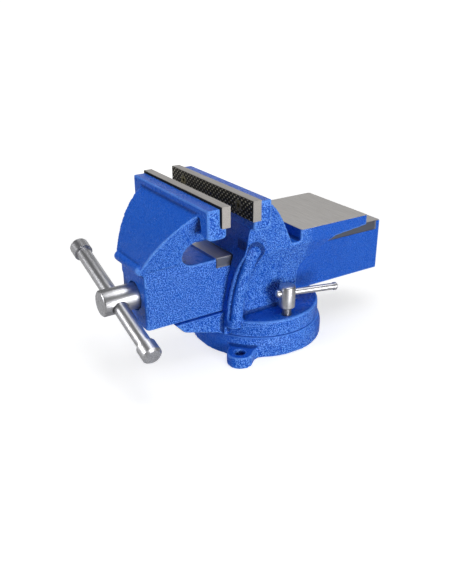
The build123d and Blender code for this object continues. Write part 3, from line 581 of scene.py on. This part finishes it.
class VISE_PG_shapes(bpy.types.PropertyGroup):
    """Sizes of the detail that the skins add to the solids"""

    cast_cell: length("Casting cell", "Cell of the casting skins", 1.0)
    cast_rounds: IntProperty(
        name="Casting rounds", description="How soft the cast edges are", default=3, min=0
    )
    # How broad the painted highlight on ridges and the painted shade in hollows are.
    form_rounds: IntProperty(
        name="Form rounds", description="How broad the painted highlight on ridges and the painted shade in hollows are", default=14,
        min=1,
    )
    knurl_wide: length("Knurl width", "Width of a diamond of the knurl", 5.0)
    knurl_tall: length("Knurl height", "Height of a diamond of the knurl", 4.0)
    knurl_deep: length("Knurl depth", "Depth of the knurl", 0.45)
    plate_edge: length("Plate edge", "Chamfer round a jaw plate", 0.4)
    screw_pitch: length("Screw pitch", "Pitch of the lead screw", 4.0)
    screw_depth: length("Screw thread depth", "Depth of the lead screw's thread", 2.0)
    lock_pitch: length("Lock bolt pitch", "Pitch of the lock bolts' thread", 1.25)
    lock_depth: length("Lock bolt thread depth", "Depth of that thread", 0.7)


class VISE_PG_stage(bpy.types.PropertyGroup):
    """Camera, lamps and backdrop"""

    position: FloatVectorProperty(
        name="Camera", description="Place of the camera", subtype="XYZ", unit="LENGTH",
        default=(0.4530, -0.3185, 0.2896),
    )
    azimuth: FloatProperty(
        name="Azimuth", description="Turn of the view from +Y towards +X", subtype="ANGLE",
        default=radians(57.72),
    )
    elevation: FloatProperty(
        name="Elevation", description="How far the view looks down", subtype="ANGLE", default=radians(24.78)
    )
    roll: FloatProperty(
        name="Roll", description="Tilt of the camera", subtype="ANGLE", default=radians(-0.34)
    )
    lens: FloatProperty(name="Lens", description="Focal length", unit="CAMERA", default=41.74)
    top_power: power("Top lamp", "Power of the lamp overhead", 6.0)
    right_power: power("Right lamp", "Power of the right lamp", 7.0)
    left_power: power("Left lamp", "Power of the left lamp", 4.0)
    ambient: share("Ambient", "Strength of the surroundings' light", 0.05)
    room: share("Room", "Brightness of the room behind the camera", 0.12)


# --- castings -----------------------------------------------------------------------------------


# The circle of the rib's centre line in (y, z), and the way that its line ends.
RIB_CENTRE = circle_through(RIB_FOOT, RIB_MID, RIB_TOP)
RIB_BEND = np.linalg.norm(RIB_TOP - RIB_CENTRE)
RIB_END_WAY = np.array([RIB_TOP[1] - RIB_CENTRE[1], RIB_CENTRE[0] - RIB_TOP[0]])


class CastingOperator:
    """What the three casting operators share."""

    bl_options = {"REGISTER", "UNDO"}

    def execute(self, context):
        """Casts, rounds and machines the skin that stands for the node."""
        shapes, colours = context.scene.vise_shapes, context.scene.vise_colours
        cell = shapes.cast_cell
        mesh = merged(frame["nodes"][self.node].data.copy(), DOUBLES)
        place(mesh, self.stocked(coordinates(mesh)))
        mesh = remeshed(mesh, cell)
        whole = coordinates(mesh)
        rough = self.carved(whole, outwards(mesh))
        pressed = np.linalg.norm(whole - rough, axis=1)
        pairs = np.empty(len(mesh.edges) * 2, int)
        mesh.edges.foreach_get("vertices", pairs)
        pairs = pairs.reshape(-1, 2)
        soft = relaxed(rough, pairs, shapes.cast_rounds)
        broad = relaxed(soft, pairs, shapes.form_rounds)
        place(mesh, soft)
        # The edge number is the height above the broad form, less painted shade in a pressed groove and
        # painted shadow behind a rib. The finish paints highlights on ridges and shade in hollows from it.
        raised = np.einsum("ij,ij->i", rough - broad, outwards(mesh))
        raised -= GROOVE_SHADE * pressed + PAINTED_SHADOW_DEPTH * cell * self.painted_shadow(whole)
        store(mesh, "edge", np.clip(raised / (EDGE_SPAN * cell), -1, 1))
        done, bare = self.machined(soft)
        place(mesh, done)
        store(mesh, "bare", bare)
        store(mesh, "side", np.abs(outwards(mesh)[:, 0]))
        mesh = merged(mesh, TINY_EDGE * cell)
        finish = bpy.data.materials.get("hammertone") or casting_finish(colours)
        piece(self.node + "_skin", mesh, self.body, [self.node], finish, CAST_SHARP)
        return {"FINISHED"}

    def stocked(self, places):
        """The rough casting, with stock left on the faces that are machined."""
        return places

    def carved(self, places, normals):
        """The places with the pattern's own grooves pressed into the casting."""
        return places

    def painted_shadow(self, places):
        """From 0 to 1, how much painted shadow lies beside a tall form."""
        return np.zeros(len(places))

    def machined(self, places):
        """The places after machining, and 1 for each vertex that lies on bare metal."""
        return places, np.zeros(len(places))


class VISE_OT_swivel_base(CastingOperator, bpy.types.Operator):
    """Casts the skin of the swivel base"""

    bl_idname = "vise.swivel_base"
    bl_label = "Swivel base"
    node, body = "swivel_base", "base"


class VISE_OT_fixed_jaw(CastingOperator, bpy.types.Operator):
    """Casts the skin of the fixed jaw and machines its anvil"""

    bl_idname = "vise.fixed_jaw"
    bl_label = "Fixed jaw"
    node, body = "fixed_jaw", "fixed_jaw"

    def stocked(self, places):
        """The anvil's face stands higher by the stock."""
        on_face = (places[:, 1] > ANVIL_START) & (places[:, 2] > ANVIL_TOP - ON_FACE)
        places[on_face, 2] += MACHINING_STOCK
        return places

    def carved(self, places, normals):
        """A groove round each rib: its depth at a place is a bell of the distance from the rib's centre
        line, which is an arc of a circle in (y, z) and ends in a dome."""
        away = np.abs(self.behind_rib(places))
        depth = RIB_GROOVE * np.exp(-(((away - RIB_GROOVE_AT) / RIB_GROOVE_WIDE) ** 2))
        off = (np.abs(places[:, 0]) < WALL_INSIDE) | (places[:, 2] < FLANGE_CLEAR)
        depth[off | (np.abs(normals[:, 0]) < SIDEWAYS)] = 0
        return places - normals * depth[:, None]

    def behind_rib(self, places):
        """How far a place lies behind the rib's centre line or beyond its end, less than 0 in front."""
        spots = places[:, 1:]
        past_end = (spots - RIB_TOP) @ RIB_END_WAY > 0
        beyond = np.linalg.norm(spots - RIB_TOP, axis=1)
        return np.where(past_end, beyond, RIB_BEND - np.linalg.norm(spots - RIB_CENTRE, axis=1))

    def painted_shadow(self, places):
        """Painted shadow: the side wall is darker for a few millimetres behind the rib."""
        behind = self.behind_rib(places)
        beside = (behind > RIB_SHADE_START) & (np.abs(places[:, 0]) > WALL_INSIDE)
        beside &= places[:, 2] > FLANGE_CLEAR
        return np.where(beside, np.clip((RIB_SHADE_END - behind) / RIB_SHADE_FADE, 0, 1), 0)

    def machined(self, places):
        """The anvil's face is cut flat at its height."""
        above = (places[:, 1] > ANVIL_START) & (places[:, 2] > ANVIL_TOP)
        places = places.copy()
        places[above, 2] = ANVIL_TOP
        return places, above


class VISE_OT_moving_jaw(CastingOperator, bpy.types.Operator):
    """Casts the skin of the moving jaw and machines its slide beam"""

    bl_idname = "vise.moving_jaw"
    bl_label = "Moving jaw"
    node, body = "moving_jaw", "moving_jaw"

    def stocked(self, places):
        """The beam's top stands higher by the stock, and its side strips are filled flush."""
        side = np.abs(places[:, 0])
        behind = places[:, 1] > MACHINED_START - ON_FACE
        strip = behind & (places[:, 2] > BEAM_TOP - STRIP_TALL - ON_FACE)
        strip &= (side > BEAM_HALF - 1.5 * STRIP_DEEP) & (side < BEAM_HALF + ON_FACE)
        places[strip, 0] = np.sign(places[strip, 0]) * BEAM_HALF
        places[behind & (places[:, 2] > BEAM_TOP - ON_FACE), 2] += MACHINING_STOCK
        return places

    def machined(self, places):
        """The beam's top and the strips down its sides are cut flat, and its upper edges are broken."""
        places = places.copy()
        behind = places[:, 1] > MACHINED_START
        top = behind & (places[:, 2] > BEAM_TOP)
        reached = places[:, 1] > MACHINED_START - CUTTER_RUN_OUT
        reached &= places[:, 2] < BEAM_TOP + 2 * MACHINING_STOCK
        places[reached, 2] = np.minimum(places[reached, 2], BEAM_TOP)
        over = np.abs(places[:, 0]) + places[:, 2] - (BEAM_HALF + BEAM_TOP - EDGE_BREAK)
        over = np.where(behind, np.maximum(over, 0), 0) / 2
        places[:, 0] -= np.sign(places[:, 0]) * over
        places[:, 2] -= over
        strip = behind & (places[:, 1] < MOVING_HIGH.y - STRIP_END_LIP)
        strip &= (places[:, 2] > BEAM_TOP - STRIP_TALL) & (np.abs(places[:, 0]) > BEAM_HALF - STRIP_DEEP)
        places[strip, 0] = np.sign(places[strip, 0]) * (BEAM_HALF - STRIP_DEEP)
        return places, top | strip


# --- plates -------------------------------------------------------------------------------------


def knurled_plate(name, low, high, outward, shapes):
    """A jaw plate. Its gripping face is a grid whose depth at (x, z) is that of the deeper of two sets of
    grooves, each a triangle wave of x / wide + z / tall or of x / wide - z / tall. The rim is chamfered."""
    edge, deep = shapes.plate_edge, shapes.knurl_deep
    wide, tall = shapes.knurl_wide, shapes.knurl_tall
    columns = np.arange(low.x + edge, high.x - edge, wide / KNURL_STEPS)
    columns = np.append(columns, high.x - edge)
    rows = int(round((high.z - low.z) / tall * KNURL_STEPS)) + 1
    rows = np.linspace(low.z + edge, high.z - edge, rows)
    x, z = np.meshgrid(columns, rows)
    waves = [np.abs(2 * np.mod(x / wide + sign * z / tall, 1) - 1) for sign in (1, -1)]
    crest = 1 - np.maximum(*waves)
    rim = np.minimum.reduce([x - low.x, high.x - x, z - low.z, high.z - z])
    rising = np.clip((rim - edge) / KNURL_RIM, 0, 1)
    crest = crest * rising + (1 - rising) / 2
    face_y, back_y = (high.y, low.y) if outward > 0 else (low.y, high.y)
    front = np.stack([x, face_y - outward * deep * (1 - crest), z], -1)
    back = np.stack([x, np.full_like(x, back_y), z], -1)

    def loop(grid, grow, y):
        """The grid's border, moved outwards by that much and on to that y."""
        ring = np.concatenate([grid[0, :-1], grid[:-1, -1], grid[-1, :0:-1], grid[:0:-1, 0]])
        centre = (np.array(low) + np.array(high)) / 2
        half = (np.array(high) - np.array(low)) / 2 - edge
        for axis in (0, 2):
            off = ring[:, axis] - centre[axis]
            ring[:, axis] += np.where(np.abs(off) > half[axis] - PLATE_DOUBLES, np.sign(off) * grow, 0)
        if y is not None:
            ring[:, 1] = y
        return ring

    rings = [
        loop(front, 0, None),
        loop(front, edge, face_y - outward * (edge + deep / 2)),
        loop(front, edge, back_y + outward * edge),
        loop(back, 0, None),
    ]
    size = front.shape[0] * front.shape[1]
    around = len(rings[0])
    places = np.concatenate([front.reshape(-1, 3), back.reshape(-1, 3), *rings])
    faces = [
        grid_faces(*front.shape[:2], False),
        grid_faces(*front.shape[:2], False)[:, ::-1] + size,
        grid_faces(4, around, True)[:, ::-1] + 2 * size,
    ]
    mesh = shell(name, places, faces)
    black = np.concatenate([np.ones(2 * size), np.repeat([1.0, 0.0, 0.0, 1.0], around)])
    bright = np.concatenate([crest.ravel(), np.zeros(size), np.zeros(4 * around)])
    store(mesh, "black", black)
    store(mesh, "crest", bright)
    mesh = merged(mesh, PLATE_DOUBLES)
    work = bmesh.new()
    work.from_mesh(mesh)
    bmesh.ops.recalc_face_normals(work, faces=work.faces)
    work.to_mesh(mesh)
    work.free()
    return mesh


class VISE_OT_jaw_plates(bpy.types.Operator):
    """Knurls the two jaw plates and sinks the holes for their screws"""

    bl_idname = "vise.jaw_plates"
    bl_label = "Jaw plates"
    bl_options = {"REGISTER", "UNDO"}

    def execute(self, context):
        """Builds both plates from their boxes."""
        shapes = context.scene.vise_shapes
        finish = plate_finish(context.scene.vise_colours)
        for jaw, outward in (("fixed", -1), ("moving", 1)):
            low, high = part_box(jaw + "_jaw_plate")
            mesh = knurled_plate(jaw + "_knurl", low, high, outward, shapes)
            screw_low, screw_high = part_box(jaw + "_plate_screws")
            head = (screw_high.z - screw_low.z) / 2 + SCREW_HEAD_PLAY
            for x in (screw_low.x + head, screw_high.x - head):
                centre = Vector((x, (low.y + high.y) / 2, (screw_low.z + screw_high.z) / 2))
                mesh = less(mesh, self.screw_room(centre, outward, high.y - low.y, head))
            name = jaw + "_jaw_plate"
            piece(name + "_knurled", mesh, jaw + "_jaw", [name], finish, PLATE_SHARP)
        return {"FINISHED"}

    def screw_room(self, centre, outward, thick, head):
        """The countersunk room of one screw, past both faces of the plate."""
        half = thick / 2
        stations = [-half - MM, half - (head - PLATE_SHANK), half, half + MM]
        radii = [PLATE_SHANK, PLATE_SHANK, head, head]
        return turned("screw_room", centre, (0, outward, 0), stations, radii, HOLE_SIDES)


# --- screw and bolts ----------------------------------------------------------------------------


class VISE_OT_lead_screw(bpy.types.Operator):
    """Turns the lead screw: a drilled head, a plain neck and a square-crested thread"""

    bl_idname = "vise.lead_screw"
    bl_label = "Lead screw"
    bl_options = {"REGISTER", "UNDO"}

    def execute(self, context):
        """Builds the screw along its own axis and drills the hole for the bar."""
        shapes, colours = context.scene.vise_shapes, context.scene.vise_colours
        head, neck, chamfer = (SCREW_HIGH.x - SCREW_LOW.x) / 2, SCREW_NECK, SCREW_CHAMFER
        origin = Vector((0, SCREW_LOW.y, (SCREW_LOW.z + SCREW_HIGH.z) / 2))
        total = SCREW_HIGH.y - SCREW_LOW.y
        stations = [0, chamfer / 2, chamfer, SCREW_HEAD_LONG, SCREW_HEAD_LONG, SCREW_THREAD_START]
        radii = [head - chamfer, head - chamfer * 0.35, head, head, neck, neck]
        pitch = shapes.screw_pitch
        run = np.arange(SCREW_THREAD_START + 0.1 * MM, total - SCREW_TIP, pitch / SCREW_STEPS)
        thread = np.concatenate([run, np.linspace(total - SCREW_TIP, total, TIP_RINGS)])
        cone = np.full(len(thread), neck)
        cone[-TIP_RINGS:] -= np.linspace(0, SCREW_TIP, TIP_RINGS)
        grooved = thread_radii(thread, SCREW_SIDES, neck, shapes.screw_depth, pitch)
        grooved = np.minimum(grooved, cone[:, None])
        plain = np.repeat(np.array(radii)[:, None], SCREW_SIDES, axis=1)
        mesh = turned(
            "lead_screw_turned", origin, (0, 1, 0), np.concatenate([stations, thread]),
            np.concatenate([plain, grooved]), SCREW_SIDES,
        )
        axis = JOINTS["handle_slide"]["axis"]
        centre = Vector(JOINTS["screw_turn"]["pos_m"])
        half = np.array([head + 4 * MM, head + MM, head - MM])
        mouth = [BAR_HOLE + HOLE_FLARE, BAR_HOLE + HOLE_FLARE, BAR_HOLE]
        spots, mouth = [*-half, *half[::-1]], [*mouth, *mouth[::-1]]
        mesh = less(mesh, turned("bar_hole", centre, axis, spots, mouth, SCREW_SIDES))
        finish = turned_finish("turned_screw", (0, 1, 0), colours)
        name = "lead_screw"
        piece(name + "_turned", mesh, "screw", [name], finish, TURNED_SHARP)
        return {"FINISHED"}


class VISE_OT_lock_bolts(bpy.types.Operator):
    """Turns the two lock bolts with their drilled heads and threads"""

    bl_idname = "vise.lock_bolts"
    bl_label = "Lock bolts"
    bl_options = {"REGISTER", "UNDO"}

    def execute(self, context):
        """Builds each bolt upwards from its tip and drills the hole for its bar."""
        shapes, colours = context.scene.vise_shapes, context.scene.vise_colours
        finish = turned_finish("turned_bolt", (0, 0, 1), colours)
        neck, chamfer, pitch = LOCK_NECK, LOCK_CHAMFER, shapes.lock_pitch
        for side in ("right", "left"):
            low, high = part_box("lock_bolt_" + side)
            centre = (low + high) / 2
            head, top = (high.x - low.x) / 2, high.z - low.z
            head_low = top - LOCK_HEAD_TALL
            thread = np.arange(0, head_low, pitch / LOCK_STEPS)
            grooved = thread_radii(thread, LOCK_SIDES, neck, shapes.lock_depth, pitch)
            stations = [head_low, head_low, head_low + chamfer, top - chamfer, top - chamfer * 0.3, top]
            radii = [neck, head - chamfer, head, head, head - chamfer * 0.45, head - chamfer]
            plain = np.repeat(np.array(radii)[:, None], LOCK_SIDES, axis=1)
            mesh = turned(
                "lock_bolt", Vector((centre.x, centre.y, low.z)), (0, 0, 1),
                np.concatenate([thread, stations]), np.concatenate([grooved, plain]), LOCK_SIDES,
            )
            bar_low, bar_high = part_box("lock_bar_" + side)
            spot = Vector((centre.x, centre.y, (bar_low.z + bar_high.z) / 2))
            axis = JOINTS["lock_bar_" + side + "_slide"]["axis"]
            ends, radii = [-LOCK_HOLE_REACH, LOCK_HOLE_REACH], [LOCK_BAR_HOLE, LOCK_BAR_HOLE]
            mesh = less(mesh, turned("bar_hole", spot, axis, ends, radii, HOLE_SIDES))
            name = "lock_bolt_" + side
            piece(name + "_turned", mesh, name, [name], finish, TURNED_SHARP)
        return {"FINISHED"}


class VISE_OT_bright_pieces(bpy.types.Operator):
    """Finishes the bars, caps, washer and collar in bright steel"""

    bl_idname = "vise.bright_pieces"
    bl_label = "Bright pieces"
    bl_options = {"REGISTER", "UNDO"}

    def execute(self, context):
        """Each group's turning marks run round its own axis."""
        colours = context.scene.vise_colours
        groups = {
            "handle": (["handle_bar", "handle_cap_low", "handle_cap_high"], JOINTS["handle_slide"]["axis"]),
            "thrust": (["thrust_washer", "thrust_collar"], (0, 1, 0)),
        }
        for side in ("right", "left"):
            nodes = ["lock_bar_" + side, "lock_bar_caps_" + side]
            groups["lock_bar_" + side] = (nodes, JOINTS["lock_bar_" + side + "_slide"]["axis"])
        for name, (nodes, axis) in groups.items():
            dress(nodes, turned_finish("bright_" + name, axis, colours))
        return {"FINISHED"}


class VISE_OT_dark_fasteners(bpy.types.Operator):
    """Finishes the plate screws, the pin, and the bolts and washers underneath in oiled oxide"""

    bl_idname = "vise.dark_fasteners"
    bl_label = "Dark fasteners"
    bl_options = {"REGISTER", "UNDO"}

    def execute(self, context):
        """One finish for all of them."""
        nodes = ["fixed_plate_screws", "moving_plate_screws", "collar_pin", "nut_bolt", "nut_washer"]
        dress([*nodes, "pivot_bolt", "pivot_washer"], oxide_finish(context.scene.vise_colours))
        return {"FINISHED"}


class VISE_OT_iron_pieces(bpy.types.Operator):
    """Finishes the lead screw's nut and the lock nuts in bare iron"""

    bl_idname = "vise.iron_pieces"
    bl_label = "Iron pieces"
    bl_options = {"REGISTER", "UNDO"}

    def execute(self, context):
        """One finish for all of them."""
        nodes = ["lead_screw_nut", "lock_nut_right", "lock_nut_left"]
        dress(nodes, iron_finish(context.scene.vise_colours))
        return {"FINISHED"}


# --- stage --------------------------------------------------------------------------------------


SENSOR, NEAR_CLIP = 36.0, 0.01  # millimetres and metres
MIDDLE = (0, 0, 0.07)  # where the lamps point
LAMPS = {  # place and width, in metres
    "top": ((0.05, 0.10, 1.05), 0.70),
    "right": ((0.95, -0.02, 0.16), 0.40),
    "left": ((-0.28, -0.92, 0.34), 0.40),
}
FLOOR_HALF, FLOOR_GREY = 12.0, 0.55
FLOOR_GLOW, FLOOR_GLOW_FAR = 0.68, 0.35  # to the camera, near the vise and added far from it
FLOOR_MIRRORED = 0.10  # in reflections
FAR_LEVELS = (0.25, 0.8)  # metres from the middle
BACKDROP_LEVELS = (0.80, 0.98)  # cosine of the angle to the camera's view
WHITE = (1.0, 1.0, 1.0)


def lamp(name, at, size, watts):
    """A square soft lamp."""
    data = bpy.data.lights.new(name, "AREA")
    data.size, data.energy = size, watts
    made = bpy.data.objects.new(name, data)
    made.location = at
    made.rotation_euler = (Vector(MIDDLE) - Vector(at)).to_track_quat("-Z", "Y").to_euler()
    bpy.context.scene.collection.objects.link(made)


def floor_finish():
    """A pale floor that reads as white to the camera and keeps the soft shadow. Its glow rises where the
    lamps' light falls off."""
    finish = Finish("studio_floor")
    seen = finish.node("ShaderNodeLightPath", output="Is Camera Ray")
    mirrored = finish.node("ShaderNodeLightPath", output="Is Glossy Ray")
    through = finish.node("ShaderNodeLightPath", output="Is Transmission Ray")
    matt = finish.node("ShaderNodeBsdfDiffuse", inputs={"Color": opaque([FLOOR_GREY] * 3)})
    away = finish.node("ShaderNodeVectorMath", {"operation": "LENGTH"}, {0: finish.place}, "Value")
    glow = seen * (FLOOR_GLOW + away.rises(*FAR_LEVELS) * FLOOR_GLOW_FAR)
    glow += (mirrored + through) * FLOOR_MIRRORED
    shine = finish.node("ShaderNodeEmission", inputs={"Color": opaque(WHITE), "Strength": glow})
    both = finish.node("ShaderNodeAddShader", inputs={0: matt, 1: shine})
    finish.node("ShaderNodeOutputMaterial", inputs={"Surface": both}, output=None)
    return finish.owner


class VISE_OT_stage(bpy.types.Operator):
    """Sets the camera, three soft lamps, the pale surroundings and the floor"""

    bl_idname = "vise.stage"
    bl_label = "Stage"
    bl_options = {"REGISTER", "UNDO"}

    def execute(self, context):
        """Places everything that isn't part of the vise."""
        stage, scene = context.scene.vise_stage, context.scene
        data = bpy.data.cameras.new("view")
        data.lens, data.sensor_width, data.clip_start = stage.lens, SENSOR, NEAR_CLIP
        camera = bpy.data.objects.new("view", data)
        turn = Euler((pi / 2 - stage.elevation, 0, stage.azimuth)).to_matrix()
        turn = turn @ Matrix.Rotation(stage.roll, 3, "Z")
        camera.matrix_world = Matrix.Translation(stage.position) @ turn.to_4x4()
        scene.collection.objects.link(camera)
        scene.camera = camera
        for name, (at, size) in LAMPS.items():
            lamp(name, at, size, getattr(stage, name + "_power"))
        ends = (-FLOOR_HALF, FLOOR_HALF)
        mesh = bpy.data.meshes.new("floor")
        mesh.from_pydata([(x, y, 0.0) for x in ends for y in ends], [], [(0, 2, 3, 1)])
        floor = bpy.data.objects.new("floor", mesh)
        scene.collection.objects.link(floor)
        mesh.materials.append(floor_finish())
        self.surround(scene, stage)
        scene.view_settings.view_transform = "Standard"
        return {"FINISHED"}

    def surround(self, scene, stage):
        """A world that is white to the camera. In reflections it is white behind the vise and fades to
        the dim room on the camera's side, and elsewhere it gives plain soft light."""
        scene.world = bpy.data.worlds.new("surroundings")
        graph = Graph(scene.world, "Generated")
        seen = graph.node("ShaderNodeLightPath", output="Is Camera Ray")
        mirrored = graph.node("ShaderNodeLightPath", output="Is Glossy Ray")
        through = graph.node("ShaderNodeLightPath", output="Is Transmission Ray")
        away = (-sin(stage.azimuth), cos(stage.azimuth), 0)
        backdrop = stage.room + graph.dot(away).rises(*BACKDROP_LEVELS) * (1 - stage.room)
        light = seen + (1 - seen) * (stage.ambient + (mirrored + through) * (backdrop - stage.ambient))
        white = graph.node("ShaderNodeBackground", inputs={"Color": opaque(WHITE), "Strength": light})
        graph.node("ShaderNodeOutputWorld", inputs={"Surface": white}, output=None)


class VISE_PT_panel(bpy.types.Panel):
    """The vise's settings and the steps that build it"""

    bl_label = "Bench vise"
    bl_idname = "VISE_PT_panel"
    bl_space_type = "VIEW_3D"
    bl_region_type = "UI"
    bl_category = "Vise"

    def draw(self, context):
        """Lists the steps, then each group's settings."""
        for step in STEPS:
            self.layout.operator(step.bl_idname)
        for group in (context.scene.vise_colours, context.scene.vise_shapes, context.scene.vise_stage):
            box = self.layout.box()
            for key in group.__annotations__:
                box.prop(group, key)


GROUPS = {"vise_colours": VISE_PG_colours, "vise_shapes": VISE_PG_shapes, "vise_stage": VISE_PG_stage}
STEPS = (
    VISE_OT_swivel_base,
    VISE_OT_fixed_jaw,
    VISE_OT_moving_jaw,
    VISE_OT_jaw_plates,
    VISE_OT_lead_screw,
    VISE_OT_lock_bolts,
    VISE_OT_bright_pieces,
    VISE_OT_dark_fasteners,
    VISE_OT_iron_pieces,
    VISE_OT_stage,
)


def register():
    """Registers the settings, the steps and the panel."""
    for name, group in GROUPS.items():
        bpy.utils.register_class(group)
        setattr(bpy.types.Scene, name, PointerProperty(type=group))
    for kind in (*STEPS, VISE_PT_panel):
        bpy.utils.register_class(kind)


def unregister():
    """Takes them all away again."""
    for kind in (VISE_PT_panel, *reversed(STEPS)):
        bpy.utils.unregister_class(kind)
    for name, group in reversed(GROUPS.items()):
        delattr(bpy.types.Scene, name)
        bpy.utils.unregister_class(group)


def main():
    """Runs every step."""
    register()
    for step in STEPS:
        family, call = step.bl_idname.split(".")
        getattr(getattr(bpy.ops, family), call)()


if __name__ == "__main__":
    main()
